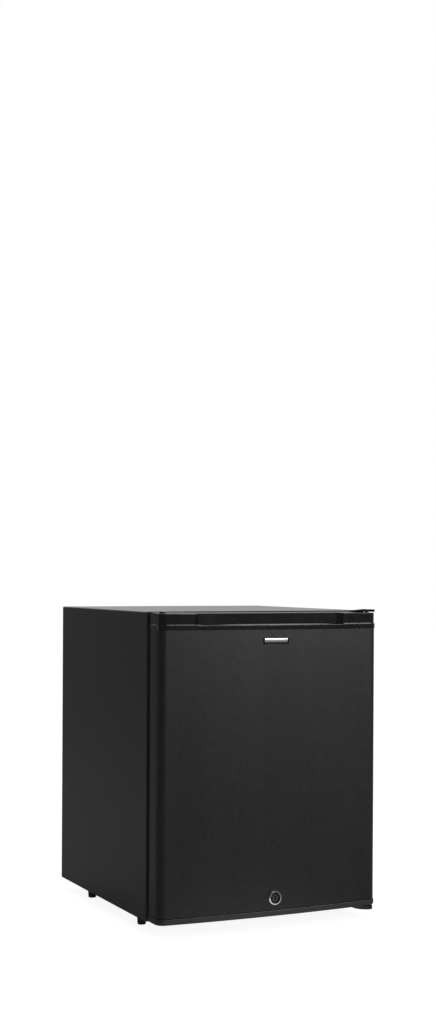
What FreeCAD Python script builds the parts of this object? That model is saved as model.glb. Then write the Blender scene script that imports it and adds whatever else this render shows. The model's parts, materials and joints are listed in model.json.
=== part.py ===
import FreeCAD, Part
import math
import os
import re
import Sketcher

# Minibar fridge, millimetres. +X right, +Y back, +Z up, the door faces -Y.
# The origin is on the floor, under the middle of the overall width and depth.

SIZES = {
    # Cabinet shell
    "cabinet_width": 402,
    "cabinet_depth": 400,
    "cabinet_height": 498,
    "casing_wall": 0.8,
    "casing_bend": 1.5,
    "frame_thickness": 3,
    "unit_space": 104,
    "side_insulation": 33,
    "top_insulation": 42,
    "bottom_insulation": 60,
    "back_insulation": 36,
    "liner_wall": 2,
    "liner_corner": 14,
    "vent_width": 8,
    "vent_length": 44,
    "vent_pitch": 26,
    "vent_count": 7,
    # Feet
    "foot_height": 21,
    "foot_top_radius": 8.25,
    "foot_bottom_radius": 7,
    "foot_inset": 24,
    "front_foot_setback": 74,
    "rear_foot_setback": 96,
    "foot_stud_radius": 3,
    "foot_stud_length": 8,
    # Shelves
    "runner_depth": 7,
    "runner_height": 5,
    "lower_shelf_rise": 118,
    "upper_shelf_rise": 218,
    "shelf_setback": 96,
    "shelf_rail_radius": 2.5,
    "shelf_wire_radius": 1.5,
    "shelf_wire_count": 15,
    "shelf_play": 1.5,
    # Control housing and lamp
    "housing_edge": 23.2,
    "housing_width": 112,
    "housing_setback": 76,
    "housing_depth": 56,
    "housing_height": 28,
    "housing_wall": 2,
    "lens_width": 46,
    "lens_depth": 28,
    "lens_thickness": 2.6,
    "dial_edge": 24,
    "dial_radius": 11,
    "dial_thickness": 8,
    "dial_gap": 0.4,
    "dial_shaft_radius": 3,
    "dial_shaft_reach": 4,
    "dial_pointer_width": 1.6,
    "dial_pointer_depth": 1,
    "thermostat_width": 30,
    "thermostat_depth": 26,
    "thermostat_height": 20,
    # Door
    "door_inset": 1,
    "door_thickness": 35,
    "door_bow": 9.1,
    "door_corner": 14,
    "door_bottom_gap": 2,
    "door_top_drop": 3,
    "skin_wall": 0.8,
    "bottom_cap_height": 10.7,
    "top_cap_height": 25.8,
    "cap_band_height": 8.8,
    "cap_proud": 1,
    "cap_step": 2.2,
    "grip_x": -2.5,
    "grip_end": 73,
    "grip_slant": 19,
    "grip_reach": 13.5,
    "grip_lip": 7,
    "grip_floor_drop": 17,
    "grip_wall": 2,
    "grip_round": 9,
    "door_liner_wall": 2,
    "gasket_gap": 12,
    "gasket_width": 10,
    "gasket_lap": 3,
    "gasket_base": 4,
    "gasket_bulb_inset": 2,
    "gasket_clearance": 0.2,
    "dyke_width": 8,
    "dyke_reach": 40,
    "rack_swing_room": 26.2,
    "rack_play": 15.2,
    "rack_reach": 92,
    "rack_height": 58,
    "rack_wall": 2,
    "lower_rack_rise": 8,
    "upper_rack_rise": 190,
    # Badge
    "badge_x": 3.4,
    "badge_width": 46,
    "badge_height": 12,
    "badge_proud": 1.4,
    "badge_frame": 1.2,
    "badge_recess": 0.5,
    "badge_drop": 18.5,
    # Lock
    "lock_x": 3.4,
    "lock_rise": 30,
    "lock_proud": 3,
    "bezel_radius": 11.8,
    "bezel_rim": 1.2,
    "bezel_dish": 2,
    "lock_body_radius": 8.5,
    "lock_body_recess": 2.2,
    "lock_body_reach": 3.8,
    "plug_radius": 6,
    "plug_recess": 0.3,
    "plug_reach": 4.4,
    "keyway_width": 1.8,
    "keyway_height": 7,
    "keyway_depth": 8,
    "nut_radius": 12,
    "nut_thickness": 3.2,
    "cam_width": 10,
    "cam_length": 24,
    "cam_thickness": 2,
    "cam_screw_radius": 2,
    "cam_screw_length": 8,
    "cam_screw_head_radius": 4.2,
    "cam_screw_head": 1.8,
    "keeper_width": 26,
    "keeper_wall": 2,
    "keeper_drop": 28,
    "keeper_hook_height": 12,
    # Hinges
    "hinge_inset": 10,
    "hinge_setback": 18,
    "hinge_width": 27,
    "hinge_nose": 9,
    "hinge_corner": 1.2,
    "upper_hinge_plate": 2.5,
    "upper_hinge_sink": 1.5,
    "upper_hinge_leg": 30,
    "lower_hinge_block": 8,
    "lower_hinge_tail": 36,
    "pin_radius": 3.5,
    "upper_pin_reach": 20,
    "lower_pin_reach": 10,
    "bush_radius": 6.5,
    "upper_bush_length": 20,
    "lower_bush_length": 10,
    "stopper_inset": 13,
    "stopper_radius": 6,
    "stopper_height": 4.4,
    "stopper_peg_radius": 4,
    "stopper_peg": 8,
    # Screws
    "screw_radius": 2,
    "screw_head_radius": 3.8,
    "screw_head": 2,
    "screw_length": 12,
    "long_screw_length": 18,
    "screw_pitch": 14,
    "screw_setback": 10,
    "keeper_screw_pitch": 14,
    # Cooling unit
    "panel_wall": 0.8,
    "unit_standoff": 48,
    "tube_radius": 8,
    "tube_bend": 16,
    "boiler_x": -120,
    "jacket_radius": 34,
    "jacket_rise": 112,
    "jacket_height": 210,
    "boiler_tube_radius": 10,
    "boiler_tube_over": 14,
    "heater_radius": 6,
    "heater_offset": 18,
    "heater_height": 150,
    "condenser_drop": 48,
    "condenser_fall": 8,
    "condenser_right": 122,
    "condenser_fin_count": 13,
    "condenser_fin_pitch": 14,
    "condenser_fin_left": -84,
    "condenser_fin_depth": 44,
    "condenser_fin_height": 52,
    "condenser_fin_wall": 1,
    "evaporator_drop": 98,
    "evaporator_half": 70,
    "evaporator_stub": 12,
    "cold_plate_width": 190,
    "cold_plate_height": 70,
    "cold_plate_wall": 5,
    "cold_block_width": 110,
    "cold_block_height": 22,
    "cold_block_reach": 6,
    "cold_fin_depth": 30,
    "cold_fin_wall": 1.6,
    "cold_fin_pitch": 12,
    "cold_fin_count": 15,
    "vessel_left": 0,
    "vessel_radius": 27,
    "vessel_length": 150,
    "vessel_rise": 70,
    "vessel_dome": 10,
    "coil_left": 10,
    "coil_right": 140,
    "coil_rise": 34,
    "coil_pitch": 36,
    "coil_rows": 4,
    "coil_exit": 60,
    "coil_top": 42,
    "return_rise": 40,
    "bracket_wall": 3,
    "bracket_height": 24,
    "coil_bracket_height": 130,
    "bracket_x": 80,
    # Melt water
    "tray_width": 206,
    "tray_depth": 48,
    "tray_height": 16,
    "tray_wall": 2,
    "tray_gap": 5,
    "drain_radius": 5,
    "drain_bend": 9,
    "drain_offset": 18,
    "drain_fall": 42,
    "dish_width": 110,
    "dish_depth": 36,
    "dish_height": 24,
    "dish_wall": 1.6,
    "drain_dip": 8,
    # Supply
    "box_edge": 36.2,
    "box_width": 80,
    "box_depth": 34,
    "box_height": 96,
    "box_rise": 262,
    "box_wall": 2,
    "box_cover": 2,
    "gland_radius": 9,
    "gland_length": 18,
    "gland_bore": 3.6,
    # Clearances
    "fit": 0.1,
    "foam_fit": 0.5,
    "running_fit": 0.05,
}

PLACES = {
    "half_width": "cabinet_width / 2",
    "base_z": "foot_height",
    "roof_z": "foot_height + cabinet_height",
    "overall_depth": "lock_proud + door_bow + door_thickness + gasket_gap + cabinet_depth",
    "door_apex": "lock_proud - overall_depth / 2",
    "door_back": "door_apex + door_bow + door_thickness",
    "cabinet_front": "door_back + gasket_gap",
    "cabinet_rear": "cabinet_front + cabinet_depth",
    "inner_half": "half_width - casing_wall",
    "pan_top": "base_z + casing_wall",
    "ceiling_z": "roof_z - casing_wall",
    "foam_front": "cabinet_front + frame_thickness",
    "panel_front": "cabinet_rear - unit_space",
    "panel_back": "panel_front + panel_wall",
    "liner_half": "inner_half - side_insulation",
    "liner_floor": "pan_top + bottom_insulation",
    "liner_roof": "ceiling_z - top_insulation",
    "liner_back": "panel_front - back_insulation",
    "cavity_half": "liner_half - liner_wall",
    "cavity_floor": "liner_floor + liner_wall",
    "cavity_roof": "liner_roof - liner_wall",
    "cavity_back": "liner_back - liner_wall",
    "door_half": "half_width - door_inset",
    "grip_half": "door_half - grip_end",
    "rack_left": "cavity_half - rack_swing_room",
    "rack_right": "cavity_half - rack_play",
    "door_bottom": "base_z + door_bottom_gap",
    "door_top": "roof_z - door_top_drop",
    "panel_bottom": "door_bottom + bottom_cap_height",
    "panel_top": "door_top - top_cap_height",
    "bow_radius": "(door_half ^ 2 + door_bow ^ 2) / (2 * door_bow)",
    "bow_centre": "door_apex + bow_radius",
    "corner_centre_y": "bow_centre - sqrt((bow_radius - door_corner) ^ 2 - (door_half - door_corner) ^ 2)",
    "band_top": "panel_top + cap_band_height",
    "grip_floor": "band_top - grip_floor_drop",
    "grip_left": "grip_x - grip_half",
    "grip_right": "grip_x + grip_half",
    "grip_front": "door_apex + grip_lip",
    "grip_back": "door_apex + cap_step + grip_reach",
    "hinge_x": "door_half - hinge_inset",
    "hinge_y": "door_back - hinge_setback",
    "hinge_left": "half_width - hinge_width",
    "hinge_middle": "hinge_left + hinge_width / 2",
    "hinge_front": "hinge_y - hinge_nose",
    "lock_z": "door_bottom + lock_rise",
    "cam_front": "door_back + plug_reach",
    "badge_z": "panel_top - badge_drop",
    "unit_y": "panel_back + unit_standoff",
    "vessel_z": "base_z + vessel_rise",
    "jacket_z": "base_z + jacket_rise",
    "boiler_bottom": "jacket_z - boiler_tube_over",
    "boiler_top": "jacket_z + jacket_height + boiler_tube_over",
    "condenser_z": "roof_z - condenser_drop",
    "evaporator_z": "roof_z - evaporator_drop",
    "evaporator_y": "liner_back + cold_block_reach + tube_radius + fit",
    "evaporator_end": "panel_back + evaporator_stub",
    "cold_plate_z": "evaporator_z - cold_plate_height / 2",
    "coil_z": "vessel_z + vessel_radius + coil_rise",
    "coil_end": "coil_z + (coil_rows - 1) * coil_pitch + coil_top",
    "return_z": "coil_end + return_rise",
    "tray_z": "cold_plate_z - tray_gap - tray_height",
    "drain_z": "tray_z + tray_wall + drain_radius + fit",
    "drain_y": "panel_back + drain_offset",
    "drain_end": "drain_z - drain_fall",
    "dish_z": "drain_end + drain_dip - dish_height",
    "housing_front": "cabinet_front + housing_setback",
    "housing_left": "cavity_half - housing_edge - housing_width",
    "housing_z": "cavity_roof - housing_height",
    "dial_x": "housing_left + housing_width - dial_edge",
    "dial_z": "housing_z + housing_height / 2",
    "box_z": "base_z + box_rise",
    "box_left": "inner_half - box_edge - box_width",
}

OWNER = {alias: "Sizes." for alias in SIZES}
OWNER.update({alias: "Places." for alias in PLACES})

doc = FreeCAD.newDocument("minibar_fridge")
nodes = []


def fill_sheet(name, rows):
    """One row for each value: its name in column A, and the value in column B under that alias."""
    sheet = doc.addObject("Spreadsheet::Sheet", name)
    for row, (alias, content) in enumerate(rows.items(), start=1):
        sheet.set(f"A{row}", alias)
        sheet.set(f"B{row}", str(content))
        sheet.setAlias(f"B{row}", alias)
    doc.recompute()
    return sheet


def worked_out(text):
    """A formula for the sheet of places, which names its own cells without the sheet's name."""
    def named(word):
        return ("Sizes." if word.group() in SIZES else "") + word.group()
    return "=" + re.sub(r"[a-z_]\w*", named, text)


def formula(text):
    """An expression in which every size and place carries the name of its sheet."""
    return re.sub(r"[a-z_]\w*", lambda word: OWNER.get(word.group(), "") + word.group(), text)


sizes = fill_sheet("Sizes", SIZES)
places = fill_sheet("Places", {alias: worked_out(text) for alias, text in PLACES.items()})


def value(text):
    """The number that an expression gives."""
    return float(places.evalExpression(formula(text)))


def bind(item, path, text):
    item.setExpression(path, formula(text))


def place(item, x, y, z):
    for axis, text in zip("xyz", (x, y, z)):
        bind(item, f"Placement.Base.{axis}", text)
    return item


def node(item):
    """Marks a finished piece, whose label names its file."""
    nodes.append(item)
    return item


# Plain solids

TURNS = {
    "X": FreeCAD.Rotation(FreeCAD.Vector(0, 1, 0), 90),
    "Y": FreeCAD.Rotation(FreeCAD.Vector(1, 0, 0), -90),
    "Z": FreeCAD.Rotation(),
    "-Z": FreeCAD.Rotation(FreeCAD.Vector(1, 0, 0), 180),
}


def block(name, x, y, z, length, width, height):
    """A box from its lowest corner."""
    item = doc.addObject("Part::Box", name)
    bind(item, "Length", length)
    bind(item, "Width", width)
    bind(item, "Height", height)
    return place(item, x, y, z)


def rod(name, x, y, z, radius, length, axis="Z"):
    """A round bar that starts at a point and runs along an axis."""
    item = doc.addObject("Part::Cylinder", name)
    item.Placement.Rotation = TURNS[axis]
    bind(item, "Radius", radius)
    bind(item, "Height", length)
    return place(item, x, y, z)


def taper(name, x, y, z, start_radius, end_radius, length, axis="Z"):
    """A cone frustum that starts at a point and runs along an axis."""
    item = doc.addObject("Part::Cone", name)
    item.Placement.Rotation = TURNS[axis]
    bind(item, "Radius1", start_radius)
    bind(item, "Radius2", end_radius)
    bind(item, "Height", length)
    return place(item, x, y, z)


def fuse(name, pieces):
    item = doc.addObject("Part::MultiFuse", name)
    item.Shapes = pieces
    item.Refine = True
    return item


def cut(name, base, tools):
    item = doc.addObject("Part::Cut", name)
    item.Base = base
    item.Tool = tools[0] if len(tools) == 1 else fuse(name + "_cutters", tools)
    return item


def group(name, pieces):
    """Like pieces that share one node, each a solid of its own."""
    item = doc.addObject("Part::Compound", name)
    item.Links = pieces
    return item


def pipe(name, route, radius, bend):
    """A round bar along straight runs that tangent arcs of the bend radius join."""
    size = value(bend)
    spots = [FreeCAD.Vector(*[value(text) for text in spot]) for spot in route]
    edges = []
    start = spots[0]
    for before, corner, after in zip(spots, spots[1:], spots[2:]):
        inward = (before - corner).normalize()
        outward = (after - corner).normalize()
        half_angle = inward.getAngle(outward) / 2
        trim = size / math.tan(half_angle)
        first = corner + inward * trim
        last = corner + outward * trim
        middle = corner + (inward + outward).normalize() * (size / math.sin(half_angle) - size)
        edges.append(Part.LineSegment(start, first).toShape())
        edges.append(Part.Arc(first, middle, last).toShape())
        start = last
    edges.append(Part.LineSegment(start, spots[-1]).toShape())
    ring = Part.Wire(Part.makeCircle(value(radius), spots[0], spots[1] - spots[0]))
    item = doc.addObject("Part::Feature", name)
    item.Shape = Part.Wire(edges).makePipeShell([ring], True, False)
    return item


# Sketched solids

def new_body(name):
    return doc.addObject("PartDesign::Body", name)


def new_sketch(body, plane, height):
    """A sketch on one of the body's own planes, moved along that plane's normal.

    XY_Plane looks along +Z, XZ_Plane along -Y and YZ_Plane along +X.
    """
    sketch = body.newObject("Sketcher::SketchObject", body.Name + "_sketch")
    support = next(item for item in body.Origin.OriginFeatures if item.Role == plane)
    sketch.AttachmentSupport = [(support, "")]
    sketch.MapMode = "FlatFace"
    bind(sketch, "AttachmentOffset.Base.z", height)
    return sketch


def hold(sketch, kind, spots, text):
    """A measured constraint whose value is an expression."""
    index = sketch.addConstraint(Sketcher.Constraint(kind, *spots, value(text)))
    bind(sketch, f"Constraints[{index}]", text)


def polygon(sketch, corners):
    """A closed outline of straight edges, with each corner held at its own two expressions."""
    first = sketch.GeometryCount
    count = len(corners)
    spots = [FreeCAD.Vector(value(x), value(y), 0) for x, y in corners]
    for start, end in zip(spots, spots[1:] + spots[:1]):
        sketch.addGeometry(Part.LineSegment(start, end))
    for index, (x, y) in enumerate(corners):
        before = first + (index - 1) % count
        sketch.addConstraint(Sketcher.Constraint("Coincident", before, 2, first + index, 1))
        hold(sketch, "DistanceX", (-1, 1, first + index, 1), x)
        hold(sketch, "DistanceY", (-1, 1, first + index, 1), y)


def rectangle(sketch, left, low, right, high):
    polygon(sketch, [(left, low), (right, low), (right, high), (left, high)])


def door_outline(sketch, inset, back):
    """The door's bow-fronted plan, drawn in by the inset and closed by a straight back."""
    half = f"door_half - ({inset})"
    corner = f"door_corner - ({inset})"
    bow = f"bow_radius - ({inset})"
    side = value(half)
    small = value(corner)
    rear = value(back)
    centre = FreeCAD.Vector(0, value("bow_centre"), 0)
    level = value("corner_centre_y")
    reach = side - small
    lean = math.atan2(reach, centre.y - level)
    up = FreeCAD.Vector(0, 0, 1)
    ahead = 1.5 * math.pi
    left_ring = Part.Circle(FreeCAD.Vector(-reach, level, 0), up, small)
    front_ring = Part.Circle(centre, up, value(bow))
    right_ring = Part.Circle(FreeCAD.Vector(reach, level, 0), up, small)
    first = sketch.GeometryCount
    sketch.addGeometry([
        Part.LineSegment(FreeCAD.Vector(side, rear, 0), FreeCAD.Vector(-side, rear, 0)),
        Part.LineSegment(FreeCAD.Vector(-side, rear, 0), FreeCAD.Vector(-side, level, 0)),
        Part.ArcOfCircle(left_ring, math.pi, ahead - lean),
        Part.ArcOfCircle(front_ring, ahead - lean, ahead + lean),
        Part.ArcOfCircle(right_ring, ahead + lean, 2 * math.pi),
        Part.LineSegment(FreeCAD.Vector(side, level, 0), FreeCAD.Vector(side, rear, 0)),
    ])
    back_line, left_line, left_arc, front_arc, right_arc, right_line = range(first, first + 6)
    chain = [left_line, left_arc, front_arc, right_arc, right_line]
    sketch.addConstraint(Sketcher.Constraint("Coincident", back_line, 2, left_line, 1))
    sketch.addConstraint(Sketcher.Constraint("Coincident", right_line, 2, back_line, 1))
    for one, other in zip(chain, chain[1:]):
        sketch.addConstraint(Sketcher.Constraint("Tangent", one, 2, other, 1))
    sketch.addConstraint(Sketcher.Constraint("Horizontal", back_line))
    sketch.addConstraint(Sketcher.Constraint("Vertical", left_line))
    sketch.addConstraint(Sketcher.Constraint("Vertical", right_line))
    sketch.addConstraint(Sketcher.Constraint("Equal", left_arc, right_arc))
    hold(sketch, "Radius", (left_arc,), corner)
    hold(sketch, "Radius", (front_arc,), bow)
    hold(sketch, "DistanceX", (-1, 1, left_line, 1), f"-({half})")
    hold(sketch, "DistanceX", (-1, 1, right_line, 1), half)
    hold(sketch, "DistanceY", (-1, 1, back_line, 1), back)
    sketch.addConstraint(Sketcher.Constraint("PointOnObject", front_arc, 3, -2))
    hold(sketch, "DistanceY", (-1, 1, front_arc, 3), "bow_centre")


def pad(body, sketch, length, flip=False):
    feature = body.newObject("PartDesign::Pad", body.Name + "_pad")
    feature.Profile = sketch
    feature.Reversed = flip
    bind(feature, "Length", length)
    return feature


def pocket(body, sketch, length, flip=False):
    feature = body.newObject("PartDesign::Pocket", body.Name + "_pocket")
    feature.Profile = sketch
    feature.Reversed = flip
    bind(feature, "Length", length)
    return feature


def row(body, feature, sketch, span, count):
    """Copies of a feature along its sketch's horizontal axis."""
    copies = body.newObject("PartDesign::LinearPattern", body.Name + "_row")
    copies.Originals = [feature]
    copies.Direction = (sketch, ["H_Axis"])
    bind(copies, "Length", span)
    bind(copies, "Occurrences", count)
    body.Tip = copies
    return copies


def fillet(body, radius, wanted):
    """Rounds the edges of the body's last feature that a test picks by their middle and direction."""
    doc.recompute()
    base = body.Tip
    names = []
    for index, edge in enumerate(base.Shape.Edges, start=1):
        along = edge.tangentAt(edge.FirstParameter)
        if edge.Curve.TypeId == "Part::GeomLine" and wanted(edge.CenterOfMass, along):
            names.append(f"Edge{index}")
    feature = body.newObject("PartDesign::Fillet", body.Name + "_fillet")
    feature.Base = (base, names)
    bind(feature, "Radius", radius)
    return feature


def runs_along(direction, axis):
    return abs(getattr(direction, axis)) > 0.999


def near(number, text):
    return abs(number - value(text)) < 0.01


# Cabinet shell

def screw_shape(name, x, y, z, length, axis, grow="0"):
    """A countersunk screw whose head is flush with its start, or, grown, the hole that it fits."""
    head = taper(name + "_head", x, y, z, f"screw_head_radius + {grow}", f"screw_radius + {grow}",
                 "screw_head", axis)
    shank = rod(name + "_shank", x, y, z, f"screw_radius + {grow}", f"{length} + {grow}", axis)
    return fuse(name, [head, shank])


def screws_and_holes(name, spots, length, axis):
    """A node of like screws, and the holes that clear them."""
    screws = [screw_shape(f"{name}_{index}", *spot, length, axis) for index, spot in enumerate(spots)]
    holes = [screw_shape(f"{name}_hole_{index}", *spot, length, axis, "fit")
             for index, spot in enumerate(spots)]
    node(group(name, screws))
    return holes


upper_screw_holes = screws_and_holes(
    "upper_hinge_screws",
    [(f"hinge_middle {side} screw_pitch / 2", "cabinet_front - upper_hinge_plate",
      "roof_z - upper_hinge_leg / 2") for side in "-+"],
    "screw_length", "Y")
lower_screw_holes = screws_and_holes(
    "lower_hinge_screws",
    [("hinge_middle", f"cabinet_front + screw_setback + {step} * screw_pitch", "base_z - lower_hinge_block")
     for step in (0, 1)],
    "long_screw_length", "Z")
keeper_screw_holes = screws_and_holes(
    "keeper_screws",
    [(f"lock_x {side} keeper_screw_pitch / 2", "cabinet_front - keeper_wall",
      "lock_z - keeper_drop + keeper_hook_height") for side in "-+"],
    "screw_length", "Y")

foot_rows = {"front": "cabinet_front + front_foot_setback", "rear": "cabinet_rear - rear_foot_setback"}
foot_places = {
    f"foot_{depth}_{side}": (f"{sign} (half_width - foot_inset)", y)
    for depth, y in foot_rows.items() for side, sign in (("left", "-"), ("right", ""))
}
stud_holes = []
for name, (x, y) in foot_places.items():
    leg = taper(name + "_leg", x, y, "0", "foot_bottom_radius", "foot_top_radius", "foot_height")
    stud = rod(name + "_stud", x, y, "foot_height", "foot_stud_radius", "foot_stud_length")
    node(fuse(name, [leg, stud]))
    stud_holes.append(rod(name + "_hole", x, y, "base_z", "foot_stud_radius + fit", "foot_stud_length + fit"))


def outer_casing():
    """One sheet bent into a roof and two sides."""
    body = new_body("outer_casing")
    sketch = new_sketch(body, "XZ_Plane", "-cabinet_front")
    polygon(sketch, [
        ("-half_width", "base_z"), ("-half_width", "roof_z"), ("half_width", "roof_z"),
        ("half_width", "base_z"),
        ("inner_half", "base_z"), ("inner_half", "ceiling_z"), ("-inner_half", "ceiling_z"),
        ("-inner_half", "base_z"),
    ])
    pad(body, sketch, "cabinet_depth", flip=True)
    fillet(body, "casing_bend", lambda at, along: runs_along(along, "y") and near(at.z, "roof_z"))
    return body


def base_pan():
    """The floor plate, with a row of vent slots under the cooling unit."""
    body = new_body("pan_sheet")
    sheet = new_sketch(body, "XY_Plane", "base_z")
    rectangle(sheet, "-inner_half", "cabinet_front", "inner_half", "cabinet_rear")
    pad(body, sheet, "casing_wall")
    slot = new_sketch(body, "XY_Plane", "pan_top")
    left = "-(vent_count - 1) * vent_pitch / 2 - vent_width / 2"
    front = "unit_y - vent_length / 2"
    rectangle(slot, left, front, left + " + vent_width", front + " + vent_length")
    first = pocket(body, slot, "casing_wall")
    row(body, first, slot, "(vent_count - 1) * vent_pitch", "vent_count")
    return cut("base_pan", body, stud_holes + lower_screw_holes)


def front_frame():
    """The flat frame round the cavity's mouth that the gasket closes on."""
    body = new_body("frame_plate")
    plate = new_sketch(body, "XZ_Plane", "-cabinet_front")
    rectangle(plate, "-inner_half", "pan_top", "inner_half", "ceiling_z")
    pad(body, plate, "frame_thickness", flip=True)
    mouth = new_sketch(body, "XZ_Plane", "-cabinet_front")
    rectangle(mouth, "-cavity_half", "cavity_floor", "cavity_half", "cavity_roof")
    pocket(body, mouth, "frame_thickness")
    fillet(body, "liner_corner - liner_wall",
           lambda at, along: runs_along(along, "y") and near(abs(at.x), "cavity_half"))
    return cut("front_frame", body, keeper_screw_holes + upper_screw_holes)


def cavity_form(name, half, low, high, back, corner):
    """A box with rounded long edges that runs back from the front frame."""
    body = new_body(name)
    sketch = new_sketch(body, "XZ_Plane", "-foam_front")
    rectangle(sketch, f"-{half}", low, half, high)
    pad(body, sketch, f"{back} - foam_front", flip=True)
    fillet(body, corner, lambda at, along: runs_along(along, "y"))
    return body


liner_outside = cavity_form("liner_outside", "liner_half", "liner_floor", "liner_roof", "liner_back",
                            "liner_corner")
liner_inside = cavity_form("liner_inside", "cavity_half", "cavity_floor", "cavity_roof", "cavity_back",
                           "liner_corner - liner_wall")
cold_window = block("cold_window", "-cold_block_width / 2", "cavity_back",
                    "evaporator_z - cold_block_height / 2", "cold_block_width",
                    "liner_wall + cold_block_reach", "cold_block_height")
drain_hole = rod("drain_hole", "0", "cavity_back - tray_wall", "drain_z", "drain_radius + fit",
                 "panel_back - cavity_back + 2 * tray_wall", "Y")
shelf_rises = {"shelf_lower": "lower_shelf_rise", "shelf_upper": "upper_shelf_rise"}


def inner_liner():
    """The white lining, with a pair of runners under each shelf."""
    shell = cut("liner_shell", liner_outside, [liner_inside, cold_window, drain_hole])
    runners = []
    for name, rise in shelf_rises.items():
        for side, start in (("left", "-cavity_half"), ("right", "cavity_half - runner_depth")):
            runners.append(block(f"{name}_runner_{side}", start, "cabinet_front + shelf_setback",
                                 f"cavity_floor + {rise} - runner_height", "runner_depth",
                                 "cavity_back - cabinet_front - shelf_setback", "runner_height"))
    return fuse("inner_liner", [shell] + runners)


def wire_shelf(name, rise):
    """Two rails from side to side, with wires welded between them."""
    half = "cavity_half - shelf_play"
    level = f"cavity_floor + {rise} + shelf_rail_radius"
    front = "cabinet_front + shelf_setback + shelf_rail_radius"
    back = "cavity_back - shelf_play - shelf_rail_radius"
    pieces = [rod(f"{name}_rail_{index}", f"-({half})", y, level, "shelf_rail_radius", f"2 * ({half})", "X")
              for index, y in enumerate((front, back))]
    for index in range(SIZES["shelf_wire_count"]):
        span = f"({half} - 2 * shelf_wire_radius)"
        x = f"{span} * (2 * {index} / (shelf_wire_count - 1) - 1)"
        pieces.append(rod(f"{name}_wire_{index}", x, front, level, "shelf_wire_radius",
                          f"{back} - ({front})", "Y"))
    return fuse(name, pieces)


for shelf_name, shelf_rise in shelf_rises.items():
    node(wire_shelf(shelf_name, shelf_rise))
node(outer_casing())
node(base_pan())
node(front_frame())
node(inner_liner())


# Cooling unit in the open space behind the rear panel

def cooling_tube(name, route, radius="tube_radius"):
    return pipe(name, route, radius, "tube_bend")


evaporator_route = [
    ("evaporator_half", "evaporator_end", "evaporator_z"),
    ("evaporator_half", "evaporator_y", "evaporator_z"),
    ("-evaporator_half", "evaporator_y", "evaporator_z"),
    ("-evaporator_half", "evaporator_end", "evaporator_z"),
]
condenser_route = [
    ("boiler_x", "unit_y", "boiler_top"), ("boiler_x", "unit_y", "condenser_z"),
    ("condenser_right", "unit_y", "condenser_z - condenser_fall"),
    ("condenser_right", "unit_y", "evaporator_z"),
    ("evaporator_half", "unit_y", "evaporator_z"), ("evaporator_half", "evaporator_end", "evaporator_z"),
]
return_route = [
    ("-evaporator_half", "evaporator_end", "evaporator_z"), ("-evaporator_half", "unit_y", "evaporator_z"),
    ("-evaporator_half", "unit_y", "return_z"), ("coil_exit", "unit_y", "return_z"),
    ("coil_exit", "unit_y", "coil_end"),
]
solution_route = [
    ("vessel_left", "unit_y", "vessel_z"), ("boiler_x", "unit_y", "vessel_z"),
    ("boiler_x", "unit_y", "boiler_bottom"),
]


def coil_route():
    """Level rows that climb from the vessel, turning back at each side."""
    ends = ["coil_left", "coil_right"]
    route = [("coil_left", "unit_y", "vessel_z + vessel_radius")]
    for level in range(SIZES["coil_rows"]):
        start, end = ends if level % 2 == 0 else ends[::-1]
        z = f"coil_z + {level} * coil_pitch"
        route += [(start, "unit_y", z), (end, "unit_y", z)]
    route[-1] = ("coil_exit", "unit_y", z)
    return route + [("coil_exit", "unit_y", "coil_end")]


def absorber_vessel():
    """A level tank with domed ends, turned about its own axis."""
    body = new_body("absorber_vessel")
    sketch = new_sketch(body, "XZ_Plane", "-unit_y")
    right = "vessel_left + vessel_length"
    polygon(sketch, [
        ("vessel_left", "vessel_z"), ("vessel_left", "vessel_z + vessel_radius - vessel_dome"),
        ("vessel_left + vessel_dome", "vessel_z + vessel_radius"),
        (right + " - vessel_dome", "vessel_z + vessel_radius"),
        (right, "vessel_z + vessel_radius - vessel_dome"), (right, "vessel_z"),
    ])
    turned = body.newObject("PartDesign::Revolution", "vessel_turned")
    turned.Profile = sketch
    turned.ReferenceAxis = (sketch, ["Edge6"])
    turned.Angle = 360
    return body


def condenser_fins():
    """Thin plates threaded on the sloping condenser tube."""
    plates = []
    slope = "condenser_fall / (condenser_right - boiler_x)"
    hole = cooling_tube("condenser_bore", condenser_route, "tube_radius + fit")
    for index in range(SIZES["condenser_fin_count"]):
        x = f"condenser_fin_left + {index} * condenser_fin_pitch"
        z = f"condenser_z - {slope} * ({x} - boiler_x) - condenser_fin_height / 2"
        plate = block(f"condenser_plate_{index}", x, "unit_y - condenser_fin_depth / 2", z,
                      "condenser_fin_wall", "condenser_fin_depth", "condenser_fin_height")
        plates.append(cut(f"condenser_fin_{index}", plate, [hole]))
    return group("condenser_fins", plates)


def evaporator_fins():
    """A cold plate on the cavity's back, with a block to the tube behind it and a row of upright fins."""
    body = new_body("evaporator_fins")
    plate = new_sketch(body, "XZ_Plane", "-cavity_back")
    rectangle(plate, "-cold_plate_width / 2", "cold_plate_z", "cold_plate_width / 2",
              "cold_plate_z + cold_plate_height")
    pad(body, plate, "cold_plate_wall")
    stem = new_sketch(body, "XZ_Plane", "-cavity_back")
    rectangle(stem, "-cold_block_width / 2", "evaporator_z - cold_block_height / 2",
              "cold_block_width / 2", "evaporator_z + cold_block_height / 2")
    pad(body, stem, "liner_wall + cold_block_reach", flip=True)
    fin = new_sketch(body, "XZ_Plane", "cold_plate_wall - cavity_back")
    left = "-(cold_fin_count - 1) * cold_fin_pitch / 2 - cold_fin_wall / 2"
    rectangle(fin, left, "cold_plate_z", left + " + cold_fin_wall", "cold_plate_z + cold_plate_height")
    first = pad(body, fin, "cold_fin_depth")
    row(body, first, fin, "(cold_fin_count - 1) * cold_fin_pitch", "cold_fin_count")
    return body


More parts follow.
